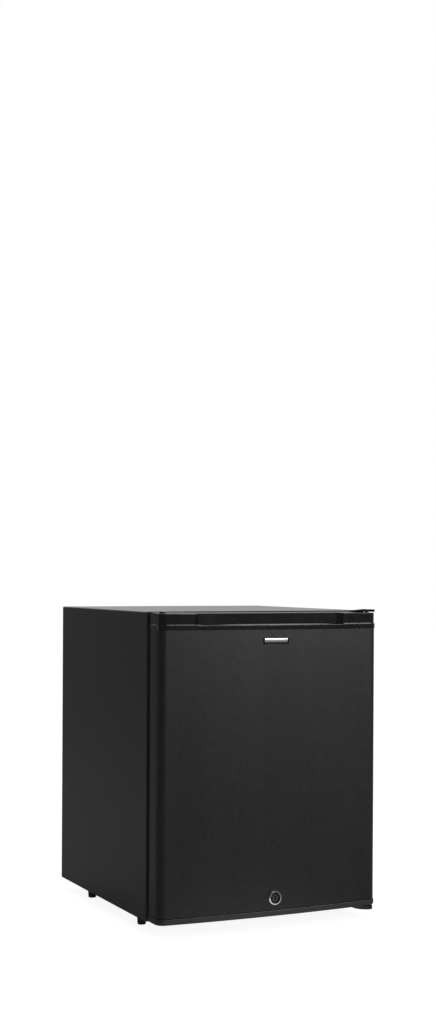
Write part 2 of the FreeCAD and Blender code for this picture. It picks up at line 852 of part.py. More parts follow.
def boiler_jacket():
    """The round lagging of the boiler, bored for its tube and its heater."""
    drum = rod("jacket_drum", "boiler_x", "unit_y", "jacket_z", "jacket_radius", "jacket_height")
    tube_bore = rod("jacket_tube_bore", "boiler_x", "unit_y", "jacket_z", "boiler_tube_radius + fit",
                    "jacket_height")
    heater_bore = rod("jacket_heater_bore", "boiler_x + heater_offset", "unit_y", "jacket_z",
                      "heater_radius + fit", "heater_height")
    return cut("boiler_jacket", drum, [tube_bore, heater_bore])


def unit_brackets():
    """Upright plates on the rear panel that the coil, the vessel and the boiler lie against."""
    vessel_plate = block("vessel_bracket", "bracket_x", "panel_back", "vessel_z - bracket_height / 2",
                         "bracket_wall", "unit_standoff - vessel_radius - fit", "bracket_height")
    coil_plate = block("coil_bracket", "bracket_x", "panel_back", "coil_z - bracket_height / 2",
                       "bracket_wall", "unit_standoff - tube_radius - fit", "coil_bracket_height")
    boiler_plate = block("boiler_bracket", "boiler_x - bracket_wall / 2", "panel_back",
                         "jacket_z + bracket_height", "bracket_wall",
                         "unit_standoff - jacket_radius - fit", "jacket_height - 2 * bracket_height")
    return group("unit_brackets", [vessel_plate, coil_plate, boiler_plate])


def rear_panel():
    """The sheet behind the foam, with a hole for each tube that passes it."""
    sheet = block("panel_sheet", "-inner_half", "panel_front", "pan_top", "2 * inner_half", "panel_wall",
                  "ceiling_z - pan_top")
    bores = [rod(f"panel_bore_{index}", x, "panel_front", "evaporator_z", "tube_radius + fit",
                 "panel_wall", "Y")
             for index, x in enumerate(("-evaporator_half", "evaporator_half"))]
    return cut("rear_panel", sheet, bores + [drain_hole])


def insulation_foam():
    """The foam that fills the space between casing and liner."""
    filling = block("foam_block", "-inner_half", "foam_front", "pan_top", "2 * inner_half",
                    "panel_front - foam_front", "ceiling_z - pan_top")
    tube = cooling_tube("evaporator_bore", evaporator_route, "tube_radius + foam_fit")
    holes = upper_screw_holes + lower_screw_holes + keeper_screw_holes + stud_holes
    return cut("insulation_foam", filling, [liner_outside, cold_window, drain_hole, tube] + holes)


def open_tray(name, x, y, z, length, width, height, wall):
    """A moulded tray, open at the top."""
    outside = block(name + "_outside", x, y, z, length, width, height)
    inside = block(name + "_inside", f"{x} + {wall}", f"{y} + {wall}", f"{z} + {wall}",
                   f"{length} - 2 * {wall}", f"{width} - 2 * {wall}", height)
    return cut(name, outside, [inside])


node(absorber_vessel())
node(cooling_tube("absorber_coil", coil_route()))
node(cooling_tube("evaporator_tube", evaporator_route))
node(cooling_tube("condenser_tube", condenser_route))
node(cooling_tube("gas_return_tube", return_route))
node(cooling_tube("solution_tube", solution_route))
node(condenser_fins())
node(evaporator_fins())
node(boiler_jacket())
node(rod("boiler_tube", "boiler_x", "unit_y", "boiler_bottom", "boiler_tube_radius",
         "boiler_top - boiler_bottom"))
node(rod("heater_cartridge", "boiler_x + heater_offset", "unit_y", "jacket_z", "heater_radius",
         "heater_height"))
node(unit_brackets())
node(rear_panel())
node(insulation_foam())

# Melt water: a tray under the cold plate, a tube through the back wall and a dish on the rear panel

moulded_tray = open_tray("tray_moulding", "-tray_width / 2", "cavity_back - tray_depth", "tray_z",
                         "tray_width", "tray_depth", "tray_height", "tray_wall")
node(cut("drip_tray", moulded_tray, [drain_hole]))
node(pipe("drain_tube", [("0", "cavity_back - tray_wall", "drain_z"), ("0", "drain_y", "drain_z"),
                         ("0", "drain_y", "drain_end")], "drain_radius", "drain_bend"))
node(open_tray("drip_dish", "-dish_width / 2", "panel_back", "dish_z", "dish_width", "dish_depth",
               "dish_height", "dish_wall"))

# Supply: a box on the rear panel, its cover and the gland for a mains lead

supply_outside = block("supply_outside", "box_left", "panel_back", "box_z", "box_width", "box_depth",
                       "box_height")
supply_inside = block("supply_inside", "box_left + box_wall", "panel_back + box_wall", "box_z + box_wall",
                      "box_width - 2 * box_wall", "box_depth", "box_height - 2 * box_wall")
node(cut("control_box", supply_outside, [supply_inside]))
gland_x = "box_left + box_width / 2"
gland_z = "box_z + box_height / 2"
gland_bore = rod("gland_bore", gland_x, "panel_back + box_depth", gland_z, "gland_bore",
                 "box_cover + gland_length", "Y")
cover_sheet = block("cover_sheet", "box_left", "panel_back + box_depth", "box_z", "box_width",
                    "box_cover", "box_height")
node(cut("control_box_cover", cover_sheet, [gland_bore]))
gland_barrel = rod("gland_barrel", gland_x, "panel_back + box_depth + box_cover", gland_z, "gland_radius",
                   "gland_length", "Y")
node(cut("cable_gland", gland_barrel, [gland_bore]))

# Control housing under the cavity's ceiling, with the thermostat and the lamp


def control_housing():
    """A moulded housing, open against the ceiling, with a window for the lens and a hole for the shaft."""
    outside = block("housing_outside", "housing_left", "housing_front", "housing_z", "housing_width",
                    "housing_depth", "housing_height")
    inside = block("housing_inside", "housing_left + housing_wall", "housing_front + housing_wall",
                   "housing_z + housing_wall", "housing_width - 2 * housing_wall",
                   "housing_depth - 2 * housing_wall", "housing_height")
    return cut("control_housing", outside, [inside, lamp_window, dial_bore])


lens_x = "housing_left + 4 * housing_wall"
lens_y = "housing_front + (housing_depth - lens_depth) / 2"
lamp_window = block("lamp_window", lens_x, lens_y, "housing_z", "lens_width", "lens_depth", "housing_wall")
dial_bore = rod("dial_bore", "dial_x", "housing_front", "dial_z", "dial_shaft_radius + running_fit",
                "housing_wall + dial_shaft_reach + dial_gap", "Y")
node(control_housing())
node(block("lamp_lens", lens_x, lens_y, "housing_z", "lens_width", "lens_depth", "lens_thickness"))
thermostat_block = block("thermostat_block", "dial_x - thermostat_width / 2",
                         "housing_front + housing_wall", "dial_z - thermostat_height / 2",
                         "thermostat_width", "thermostat_depth", "thermostat_height")
node(cut("thermostat_body", thermostat_block, [dial_bore]))


def thermostat_dial():
    """A round knob with a pointer groove across its face, on a short shaft."""
    front = "housing_front - dial_gap - dial_thickness"
    knob = rod("dial_knob", "dial_x", front, "dial_z", "dial_radius", "dial_thickness", "Y")
    shaft = rod("dial_shaft", "dial_x", front, "dial_z", "dial_shaft_radius",
                "dial_thickness + dial_gap + housing_wall + dial_shaft_reach", "Y")
    groove = block("dial_groove", "dial_x - dial_pointer_width / 2", front, "dial_z", "dial_pointer_width",
                   "dial_pointer_depth", "dial_radius")
    return cut("thermostat_dial", fuse("dial_turning", [knob, shaft]), [groove])


node(thermostat_dial())


# Hinges: an angle on the cabinet's front and a block under its floor, each with a pin into the door

def hinge_form(name, low, height, back):
    """A flat plate that reaches forward over or under the door, with its inner front corner well rounded."""
    body = new_body(name)
    sketch = new_sketch(body, "XY_Plane", low)
    rectangle(sketch, "hinge_left", "hinge_front", "half_width", back)
    pad(body, sketch, height)
    for radius, side in (("hinge_width - 2 * hinge_corner", "hinge_left"), ("hinge_corner", "half_width")):
        fillet(body, radius,
               lambda at, along: runs_along(along, "z") and near(at.y, "hinge_front") and near(at.x, side))
    return body


pin_hole = rod("pin_hole", "hinge_x", "hinge_y", "base_z - lower_hinge_block", "pin_radius + fit",
               "cabinet_height + lower_hinge_block + upper_hinge_plate")
upper_form = hinge_form("upper_hinge_form", "roof_z - upper_hinge_sink",
                        "upper_hinge_plate + upper_hinge_sink", "cabinet_front")
upper_leg = new_sketch(upper_form, "XZ_Plane", "-cabinet_front")
rectangle(upper_leg, "hinge_left", "roof_z - upper_hinge_leg", "half_width", "roof_z + upper_hinge_plate")
pad(upper_form, upper_leg, "upper_hinge_plate")
node(cut("upper_hinge_bracket", upper_form, upper_screw_holes + [pin_hole]))
lower_form = hinge_form("lower_hinge_form", "base_z - lower_hinge_block", "lower_hinge_block",
                        "cabinet_front + lower_hinge_tail")
node(cut("lower_hinge_bracket", lower_form, lower_screw_holes + [pin_hole]))
node(rod("upper_hinge_pin", "hinge_x", "hinge_y", "roof_z + upper_hinge_plate", "pin_radius",
         "upper_hinge_plate + door_top_drop + upper_pin_reach", "-Z"))
node(rod("lower_hinge_pin", "hinge_x", "hinge_y", "base_z - lower_hinge_block", "pin_radius",
         "lower_hinge_block + door_bottom_gap + lower_pin_reach"))


def bush(name, low, length):
    """A plain bearing in the door for a hinge pin."""
    barrel = rod(name + "_barrel", "hinge_x", "hinge_y", low, "bush_radius", length)
    bore = rod(name + "_bore", "hinge_x", "hinge_y", low, "pin_radius + running_fit", length)
    return cut(name, barrel, [bore])


node(bush("upper_hinge_bush", "door_top - upper_bush_length", "upper_bush_length"))
node(bush("lower_hinge_bush", "door_bottom", "lower_bush_length"))
upper_bush_seat = rod("upper_bush_seat", "hinge_x", "hinge_y", "door_top - upper_bush_length",
                      "bush_radius + fit", "upper_bush_length")
lower_bush_seat = rod("lower_bush_seat", "hinge_x", "hinge_y", "door_bottom", "bush_radius + fit",
                      "lower_bush_length")

# A stopper in the spare hinge hole, on the side of the door that opens

stopper_x = "stopper_inset - door_half"
stopper_button = rod("stopper_button", stopper_x, "hinge_y", "door_top", "stopper_radius", "stopper_height")
stopper_pin = rod("stopper_pin", stopper_x, "hinge_y", "door_top", "stopper_peg_radius", "stopper_peg", "-Z")
stopper_hole = rod("stopper_hole", stopper_x, "hinge_y", "door_top", "stopper_peg_radius + fit",
                   "stopper_peg + fit", "-Z")
node(fuse("hinge_stopper", [stopper_button, stopper_pin]))

# Lock: everything turns about one axis through the door

lock_bore = rod("lock_bore", "lock_x", "door_apex", "lock_z", "lock_body_radius + fit",
                "door_back - door_apex", "Y")
plug_bore = rod("plug_bore", "lock_x", "door_apex - lock_proud", "lock_z", "plug_radius + running_fit",
                "lock_proud + door_back - door_apex + lock_body_reach", "Y")
cam_screw_hole = rod("cam_screw_hole", "lock_x", "cam_front - cam_screw_length", "lock_z",
                     "cam_screw_radius + fit", "cam_screw_length + cam_thickness", "Y")
body_front = "door_apex - lock_proud + lock_body_recess"


def lock_bezel():
    """A bright ring on the door's face, dished from its rim to the lock body."""
    ring = rod("bezel_ring", "lock_x", "door_apex - lock_proud", "lock_z", "bezel_radius", "lock_proud", "Y")
    dish = taper("bezel_dish_cut", "lock_x", "door_apex - lock_proud", "lock_z", "bezel_radius - bezel_rim",
                 "lock_body_radius + fit", "bezel_dish", "Y")
    seat = rod("bezel_seat", "lock_x", "door_apex - lock_proud", "lock_z", "lock_body_radius + fit",
               "lock_proud", "Y")
    return cut("lock_bezel", ring, [dish, seat])


def lock_nut():
    """A six-sided nut that draws the lock body against the door's back."""
    prism = doc.addObject("Part::Prism", "nut_prism")
    prism.Polygon = 6
    prism.Placement.Rotation = TURNS["Y"]
    bind(prism, "Circumradius", "nut_radius")
    bind(prism, "Height", "nut_thickness")
    place(prism, "lock_x", "door_back", "lock_z")
    bore = rod("nut_bore", "lock_x", "door_back", "lock_z", "lock_body_radius + fit", "nut_thickness", "Y")
    return cut("lock_nut", prism, [bore])


def lock_plug():
    """The turning barrel, with a keyway in its face and a tapped hole for the cam's screw."""
    front = f"{body_front} - plug_recess"
    barrel = rod("plug_barrel", "lock_x", front, "lock_z", "plug_radius", f"cam_front - ({front})", "Y")
    keyway = block("keyway", "lock_x - keyway_width / 2", front, "lock_z - keyway_height / 2", "keyway_width",
                   "keyway_depth", "keyway_height")
    return cut("lock_plug", barrel, [keyway, cam_screw_hole])


def lock_cam():
    """A flat tongue that points left, away from its keeper, while the lock is open."""
    tongue = block("cam_tongue", "lock_x - cam_length", "cam_front", "lock_z - cam_width / 2", "cam_length",
                   "cam_thickness", "cam_width")
    boss = rod("cam_boss", "lock_x", "cam_front", "lock_z", "cam_width / 2", "cam_thickness", "Y")
    return cut("lock_cam", fuse("cam_blank", [tongue, boss]), [cam_screw_hole])


def cam_screw():
    shank = rod("cam_screw_shank", "lock_x", "cam_front - cam_screw_length + fit", "lock_z",
                "cam_screw_radius", "cam_screw_length + cam_thickness - fit", "Y")
    head = rod("cam_screw_cap", "lock_x", "cam_front + cam_thickness", "lock_z", "cam_screw_head_radius",
               "cam_screw_head", "Y")
    return fuse("cam_screw", [shank, head])


def lock_keeper():
    """A channel on the front frame whose outer wall holds the turned cam."""
    body = new_body("keeper_channel")
    sketch = new_sketch(body, "YZ_Plane", "lock_x - keeper_width / 2")
    hook_back = "cam_front - keeper_wall / 2"
    hook_front = "cam_front - 3 * keeper_wall / 2"
    low = "lock_z - keeper_drop"
    polygon(sketch, [
        (hook_front, low), ("cabinet_front", low), ("cabinet_front", low + " + 2 * keeper_hook_height"),
        ("cabinet_front - keeper_wall", low + " + 2 * keeper_hook_height"),
        ("cabinet_front - keeper_wall", low + " + keeper_wall"), (hook_back, low + " + keeper_wall"),
        (hook_back, low + " + keeper_hook_height"), (hook_front, low + " + keeper_hook_height"),
    ])
    pad(body, sketch, "keeper_width")
    return cut("lock_keeper", body, keeper_screw_holes)


lock_barrel = rod("lock_barrel", "lock_x", body_front, "lock_z", "lock_body_radius",
                  f"door_back + lock_body_reach - ({body_front})", "Y")
node(cut("lock_body", lock_barrel, [plug_bore]))
node(lock_bezel())
node(lock_nut())
node(lock_plug())
node(lock_cam())
node(cam_screw())
node(lock_keeper())


# Door

def door_form(name, inset, back, low, height):
    """A slice of the door's plan."""
    body = new_body(name)
    sketch = new_sketch(body, "XY_Plane", low)
    door_outline(sketch, inset, back)
    pad(body, sketch, height)
    return body


def door_panel():
    """The bowed sheet that wraps the door's front and sides."""
    body = door_form("door_sheet", "0", "door_back", "panel_bottom", "panel_top - panel_bottom")
    inside = new_sketch(body, "XY_Plane", "panel_top")
    door_outline(inside, "skin_wall", "door_back + skin_wall")
    pocket(body, inside, "panel_top - panel_bottom")
    return cut("door_panel", body, [lock_bore])


def grip_corners(front, back):
    """The grip's plan: wide at the front, with ends that slant in to its rear wall."""
    return [("grip_left - grip_slant", front), ("grip_right + grip_slant", front), ("grip_right", back),
            ("grip_left", back)]


def door_top_cap():
    """A moulding with a proud lower band, a set-back upper wall and a finger trough behind the band."""
    body = new_body("top_cap_moulding")
    band = new_sketch(body, "XY_Plane", "panel_top")
    door_outline(band, "-cap_proud", "door_back")
    pad(body, band, "cap_band_height")
    upper = new_sketch(body, "XY_Plane", "band_top")
    door_outline(upper, "cap_step", "door_back")
    pad(body, upper, "top_cap_height - cap_band_height")
    trough_floor = new_sketch(body, "XY_Plane", "panel_top")
    rectangle(trough_floor, "grip_left - grip_wall", "grip_front - grip_wall", "grip_right + grip_wall",
              "grip_back + grip_wall")
    pad(body, trough_floor, "panel_top - grip_floor + grip_wall", flip=True)
    scoop = new_sketch(body, "XY_Plane", "door_top")
    polygon(scoop, grip_corners("door_apex - 2 * cap_proud", "grip_back"))
    pocket(body, scoop, "door_top - band_top")
    fillet(body, "grip_round", lambda at, along: runs_along(along, "z") and at.z > value("band_top")
           and abs(at.x - value("grip_x")) < value("grip_half + 2 * grip_slant"))
    trough = new_sketch(body, "XY_Plane", "door_top")
    rectangle(trough, "grip_left", "grip_front", "grip_right", "grip_back")
    pocket(body, trough, "door_top - grip_floor")
    return cut("door_top_cap", body, [upper_bush_seat, stopper_hole])


def door_bottom_cap():
    """The closing strip under the panel."""
    body = door_form("bottom_cap_moulding", "-cap_proud", "door_back", "door_bottom", "bottom_cap_height")
    return cut("door_bottom_cap", body, [lower_bush_seat])


def door_foam():
    filling = door_form("door_filling", "skin_wall", "door_back - door_liner_wall", "panel_bottom",
                        "panel_top - panel_bottom")
    trough = block("trough_seat", "grip_left - grip_wall", "grip_front - grip_wall", "grip_floor - grip_wall",
                   "2 * (grip_half + grip_wall)", "grip_back - grip_front + 2 * grip_wall",
                   "panel_top - grip_floor + grip_wall")
    return cut("door_foam", filling, [lock_bore, trough])


def door_liner():
    """The door's white back, with two upright dykes that carry the racks."""
    sheet = block("door_liner_sheet", "-(door_half - skin_wall)", "door_back - door_liner_wall",
                  "panel_bottom", "2 * (door_half - skin_wall)", "door_liner_wall",
                  "panel_top - panel_bottom")
    low = "cavity_floor + gasket_lap"
    tall = "cavity_roof - cavity_floor - 2 * gasket_lap"
    left = block("dyke_left", "-rack_left - dyke_width", "door_back", low, "dyke_width", "dyke_reach", tall)
    right = block("dyke_right", "rack_right", "door_back", low, "dyke_width", "dyke_reach", tall)
    return cut("door_liner", fuse("door_liner_moulding", [sheet, left, right]), [lock_bore])


def door_gasket():
    """A closed ring: a flat foot on the door's back with a narrower bulb that meets the front frame."""
    rings = []
    for name, inset, start, end in (("foot", "0", "door_back", "door_back + gasket_base"),
                                    ("bulb", "gasket_bulb_inset", "door_back + gasket_base",
                                     "cabinet_front - gasket_clearance")):
        hole_half = f"cavity_half + gasket_lap + {inset}"
        hole_low = f"cavity_floor - gasket_lap - {inset}"
        hole_tall = f"cavity_roof - cavity_floor + 2 * (gasket_lap + {inset})"
        strip = f"(gasket_width - 2 * {inset})"
        outside = block(f"gasket_{name}_outside", f"-({hole_half} + {strip})", start, f"{hole_low} - {strip}",
                        f"2 * ({hole_half} + {strip})", f"{end} - ({start})", f"{hole_tall} + 2 * {strip}")
        hole = block(f"gasket_{name}_hole", f"-({hole_half})", start, hole_low, f"2 * ({hole_half})",
                     f"{end} - ({start})", hole_tall)
        rings.append(cut(f"gasket_{name}", outside, [hole]))
    return fuse("door_gasket", rings)


rack_width = "rack_left + rack_right"
node(door_panel())
node(door_top_cap())
node(door_bottom_cap())
node(door_foam())
node(door_liner())
node(door_gasket())
for rack_name, rack_rise in (
        ("bottle_rack_lower", "lower_rack_rise"),
        ("bottle_rack_upper", "upper_rack_rise")):
    node(open_tray(rack_name, "-rack_left", "door_back", f"cavity_floor + {rack_rise}", rack_width,
                   "rack_reach", "rack_height", "rack_wall"))

# Badge: a dark frame on the door with a plain bright inlay

badge_left = "badge_x - badge_width / 2"
badge_low = "badge_z - badge_height / 2"
badge_front = "door_apex - badge_proud"
inlay_spot = (f"{badge_left} + badge_frame", f"{badge_front} + badge_recess", f"{badge_low} + badge_frame")
inlay_size = ("badge_width - 2 * badge_frame", "badge_height - 2 * badge_frame")
badge_block = block("badge_block", badge_left, badge_front, badge_low, "badge_width", "badge_proud",
                    "badge_height")
badge_well = block("badge_well", inlay_spot[0], badge_front, inlay_spot[2], inlay_size[0],
                   "badge_proud / 2 + badge_recess", inlay_size[1])
node(cut("badge_plate", badge_block, [badge_well]))
node(block("badge_inlay", *inlay_spot, inlay_size[0], "badge_proud / 2", inlay_size[1]))


# Every object is whole before anything is written.

def verify():
    doc.recompute()
    for item in doc.Objects:
        if "Invalid" in item.State or "Error" in item.State:
            raise RuntimeError(f"{item.Name} failed: {item.State}")
        if item.TypeId == "PartDesign::Pocket" and item.Shape.Volume >= item.BaseFeature.Shape.Volume:
            raise RuntimeError(f"{item.Name} cuts nothing")
    for item in nodes:
        if item.Shape.isNull() or not item.Shape.isValid() or not item.Shape.Solids:
            raise RuntimeError(f"{item.Label} is not a whole solid")


def write():
    os.makedirs("parts", exist_ok=True)
    for item in nodes:
        item.Shape.exportStep(os.path.join("parts", item.Label + ".step"))


verify()
write()
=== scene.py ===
"""Minibar fridge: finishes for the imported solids, and smooth outer pieces that stand for some of them."""

import json
import math

import bmesh
import bpy
import numpy as np
from bpy.props import FloatProperty, FloatVectorProperty, PointerProperty
from bpy.types import Operator, Panel, PropertyGroup
from mathutils import Matrix, Vector


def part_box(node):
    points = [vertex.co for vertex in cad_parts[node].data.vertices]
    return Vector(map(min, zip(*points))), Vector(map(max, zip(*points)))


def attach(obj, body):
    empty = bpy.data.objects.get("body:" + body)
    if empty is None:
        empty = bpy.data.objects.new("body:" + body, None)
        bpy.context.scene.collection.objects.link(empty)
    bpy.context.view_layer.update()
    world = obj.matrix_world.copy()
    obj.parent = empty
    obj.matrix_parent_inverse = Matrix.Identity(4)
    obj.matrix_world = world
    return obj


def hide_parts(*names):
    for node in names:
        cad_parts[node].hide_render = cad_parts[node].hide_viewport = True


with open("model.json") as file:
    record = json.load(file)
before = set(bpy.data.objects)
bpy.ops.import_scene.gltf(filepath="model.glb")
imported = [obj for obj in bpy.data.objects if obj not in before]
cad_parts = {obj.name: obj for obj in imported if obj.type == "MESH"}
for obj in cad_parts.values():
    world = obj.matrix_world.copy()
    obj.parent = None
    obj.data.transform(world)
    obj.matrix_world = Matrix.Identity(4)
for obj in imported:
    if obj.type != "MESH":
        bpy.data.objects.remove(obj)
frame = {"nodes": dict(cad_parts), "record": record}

bl_info = {
    "name": "Minibar fridge",
    "version": (1, 0, 0),
    "blender": (4, 5, 0),
    "location": "3D View > Sidebar > Fridge",
    "description": "Builds the outer pieces and the finishes of a minibar fridge round its packed solids",
    "category": "Object",
}

MM = 0.001
# The material slot and the body of each solid
SLOTS = {row["node"]: row["material_slot"] for row in frame["record"]["subparts"]}
BODIES = {node: body for body, nodes in frame["record"]["behaviour"]["bodies"].items() for node in nodes}
# The pieces that the sheen lamp lights
DOOR_PIECES = "door_pieces"
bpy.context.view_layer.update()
PANEL_LOW, PANEL_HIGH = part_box("door_panel")
TOP_CAP_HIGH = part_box("door_top_cap")[1]
BOTTOM_CAP_LOW, BOTTOM_CAP_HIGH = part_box("door_bottom_cap")
BEZEL_LOW, BEZEL_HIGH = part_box("lock_bezel")
PLATE_LOW, PLATE_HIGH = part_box("badge_plate")
INLAY_LOW, INLAY_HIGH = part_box("badge_inlay")
GASKET_LOW, GASKET_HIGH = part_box("door_gasket")


# Finishes

def linear(code):
    """An sRGB hex colour as linear red, green, blue and alpha."""
    shown = np.array([int(code[i:i + 2], 16) for i in (0, 2, 4)]) / 255
    values = np.where(shown <= 0.04045, shown / 12.92, ((shown + 0.055) / 1.055) ** 2.4)
    return (*values.tolist(), 1.0)


def cleared(owner):
    """The node tree of a material or a world, empty."""
    owner.use_nodes = True
    owner.node_tree.nodes.clear()
    return owner.node_tree


def show(name, data):
    """One object in the scene."""
    made = bpy.data.objects.new(name, data)
    bpy.context.scene.collection.objects.link(made)
    return made


def add(tree, kind, inputs=None, **settings):
    """One node with its settings, and its inputs: values, sockets, or nodes whose first output is meant."""
    node = tree.nodes.new(kind)
    for key, value in settings.items():
        setattr(node, key, value)
    for key, value in (inputs or {}).items():
        if isinstance(value, bpy.types.Node):
            value = next(socket for socket in value.outputs if socket.enabled)
        if isinstance(value, bpy.types.NodeSocket):
            tree.links.new(value, node.inputs[key])
        else:
            node.inputs[key].default_value = value
    return node


# Each recipe: the two colours that its pattern runs between, as hex values or as names of colour settings,
# the pattern's size in millimetres, all round or along X, Y and Z, the range of its roughness, the height of
# its relief in millimetres, and the shader's own inputs.
FINISHES = {
    # Steel sheet, powder coated and baked: a fine pebble breaks up highlights, so flat faces are evenly dark.
    # The pebble is really about 0.4 mm, and is drawn at 1.1 mm so that it shows.
    "powder_coated_steel": ("coat_dark", "coat_light", 1.1, (0.28, 0.38), 0.012,
                            {"Specular IOR Level": 0.25}),
    # Steel with a dark laminated film, brushed upright: fine streaks that vary in brightness and length.
    # The streaks are really about 0.2 mm apart, and are drawn at 1.3 mm so that they show.
    "brushed_film_on_steel": ("film_dark", "film_light", (1.3, 1.3, 7), (0.35, 0.44), 0.004,
                              {"Specular IOR Level": 0.3}),
    # ABS, injection moulded in a polished tool: near black, with clear soft reflections.
    "polished_black_abs": ("070708", "0c0c0d", 24, (0.14, 0.19), 0.005,
                           {"IOR": 1.53, "Specular IOR Level": 0.45}),
    # ABS, injection moulded in an etched tool: dark grey with a dull, even sheen.
    "etched_black_abs": ("181819", "222223", 0.9, (0.44, 0.52), 0.012,
                         {"IOR": 1.53, "Specular IOR Level": 0.35}),
    # ABS, moulded and lacquered: a black frame with sharp reflections.
    "lacquered_black_abs": ("030303", "060606", 8, (0.05, 0.09), 0.003, {"IOR": 1.53}),
    # Aluminium, brushed level and clear anodised: a bright strip with fine lines along its length.
    "brushed_anodised_aluminium": ("85868a", "a8a9ab", (9, 0.5, 0.5), (0.26, 0.38), 0.004, {"Metallic": 1.0}),
    # Zinc die casting, chrome plated: mirror bright, with faint handling marks.
    "chrome_plated_zinc": ("bfc1c4", "d4d6d8", 5, (0.04, 0.1), 0.004, {"Metallic": 1.0}),
    # Steel, turned and black nickel plated: dark smoky metal with rings round its axis.
    "turned_black_nickel": ("151516", "29292b", 0.9, (0.2, 0.34), 0.004, {"Metallic": 1.0}),
    # Brass, turned and nickel plated: smooth warm grey metal that mirrors its surroundings softly.
    "turned_nickel_plate": ("3a3a3c", "565658", 1.2, (0.14, 0.26), 0.006, {"Metallic": 1.0}),
    # PVC, extruded soft: a dull black strip with a little dust in its skin.
    "extruded_soft_pvc": ("101010", "191919", 1.4, (0.6, 0.75), 0.015, {"IOR": 1.52}),
    # High impact polystyrene, vacuum formed: warm white with a faint orange-peel gloss.
    "vacuum_formed_polystyrene": ("lining_dark", "lining_light", 2.6, (0.28, 0.38), 0.02, {"IOR": 1.59}),
    # Polystyrene, injection moulded: cooler white, smooth and lightly glossy.
    "moulded_polystyrene": ("d6dadc", "dfe3e5", 1.6, (0.26, 0.34), 0.006, {"IOR": 1.59}),
    # Polyurethane, foamed in place: straw coloured, with open cells.
    "rigid_polyurethane_foam": ("c2ab72", "dac78f", 1.8, (0.8, 0.95), 0.3, {"IOR": 1.5}),
    # Steel sheet, hot dip zinc coated: dull grey with crystal spangles some millimetres across.
    "zinc_coated_sheet": ("94979a", "b2b5b8", 7, (0.34, 0.5), 0.004, {"Metallic": 0.9}),
    # Steel, black stove enamel: smooth, with a slight orange peel and grey edges to its highlights.
    "black_enamelled_steel": ("0c0c0d", "131314", 3, (0.2, 0.32), 0.02, {"IOR": 1.5}),
    # Steel, phosphated and oiled: dead black, with hardly any sheen.
    "black_phosphated_steel": ("040404", "090909", 0.7, (0.72, 0.86), 0.01,
                               {"IOR": 1.5, "Specular IOR Level": 0.1}),
    # Steel, zinc plated and passivated: small bright fasteners.
    "zinc_plated_steel": ("8e9093", "adafb1", 1.5, (0.28, 0.42), 0.004, {"Metallic": 1.0}),
    # Acetal, turned: waxy off-white.
    "turned_acetal": ("cfcfc8", "dbdbd4", (2, 2, 0.4), (0.34, 0.44), 0.004, {"IOR": 1.48}),
    # Polypropylene, moulded in a spark-eroded tool: dull black with a fine sandy skin.
    "moulded_black_polypropylene": ("171717", "212121", 0.8, (0.52, 0.66), 0.02, {"IOR": 1.49}),
    # Steel wire, dipped in white polyethylene: rounded, slightly uneven gloss.
    "dip_coated_wire": ("d9dad8", "e5e6e4", 5, (0.22, 0.34), 0.05, {"IOR": 1.51}),
    # Aluminium, extruded and left bare: pale metal with die lines along Z.
    "extruded_aluminium": ("a9abad", "c3c5c7", (0.8, 0.8, 60), (0.32, 0.44), 0.006, {"Metallic": 1.0}),
    # Steel sleeve, rolled from aluminised sheet: soft grey with level rolling marks.
    "aluminised_sleeve": ("8d8f91", "a3a5a7", (40, 40, 2.2), (0.36, 0.52), 0.02, {"Metallic": 0.85}),
    # Stainless tube, drawn: grey with lines along its length.
    "drawn_stainless_tube": ("828385", "9a9b9d", (0.6, 0.6, 40), (0.26, 0.38), 0.004, {"Metallic": 1.0}),
    # Acrylic, moulded with a frosted back: milky and half clear.
    "frosted_acrylic": ("eef1f2", "f7f9fa", 1.5, (0.42, 0.56), 0.02,
                        {"IOR": 1.49, "Transmission Weight": 0.6}),
    # ABS, moulded in light grey: smooth, with a soft sheen.
    "moulded_grey_abs": ("bfc1c3", "cbcdcf", 2, (0.34, 0.44), 0.008, {"IOR": 1.53}),
    # PVC, extruded and moulded in pale grey: smooth and slightly cloudy.
    "pale_grey_pvc": ("a9aeb2", "b9bec2", 14, (0.3, 0.42), 0.01, {"IOR": 1.53}),
}

# The finish of each material slot
SLOT_FINISH = {
    "casing": "powder_coated_steel", "door_skin": "brushed_film_on_steel", "door_trim": "polished_black_abs",
    "badge_frame": "lacquered_black_abs", "badge_face": "brushed_anodised_aluminium",
    "bright_metal": "chrome_plated_zinc", "lock_metal": "turned_black_nickel", "gasket": "extruded_soft_pvc",
    "liner": "vacuum_formed_polystyrene", "rack": "moulded_polystyrene", "foam": "rigid_polyurethane_foam",
    "zinc_sheet": "zinc_coated_sheet", "hinge": "black_phosphated_steel", "steel": "zinc_plated_steel",
    "bush": "turned_acetal", "foot": "moulded_black_polypropylene", "shelf_wire": "dip_coated_wire",
    "cold_metal": "extruded_aluminium", "unit_paint": "black_enamelled_steel", "jacket": "aluminised_sleeve",
    "heater": "drawn_stainless_tube", "lens": "frosted_acrylic", "dial": "moulded_grey_abs",
    "control": "moulded_black_polypropylene", "drain": "pale_grey_pvc",
}
# The finish of a solid that differs from the rest of its slot
NODE_FINISH = {"lock_plug": "turned_nickel_plate", "front_frame": "moulded_black_polypropylene"}
# What a finish draws in another way: its pattern's kind and detail, and the size of the cloud mixed into it
PATTERNS = {
    "brushed_film_on_steel": {"detail": 5, "cloud": (26, 26, 320)},
    "zinc_coated_sheet": {"kind": "ShaderNodeTexVoronoi"},
}
# The cloud of the other finishes, and how the two patterns are drawn and mixed
CLOUD_SIZE, CLOUD_DETAIL, CLOUD_SHARE = 110, 3.0, 0.3
FINE_DETAIL, FINE_LOW, FINE_HIGH = 2.0, 0.3, 0.7


def per_metre(sizes):
    """The scale of a pattern whose size is given in millimetres, all round or along X, Y and Z."""
    return [1 / (size * MM) for size in np.broadcast_to(sizes, 3).tolist()]


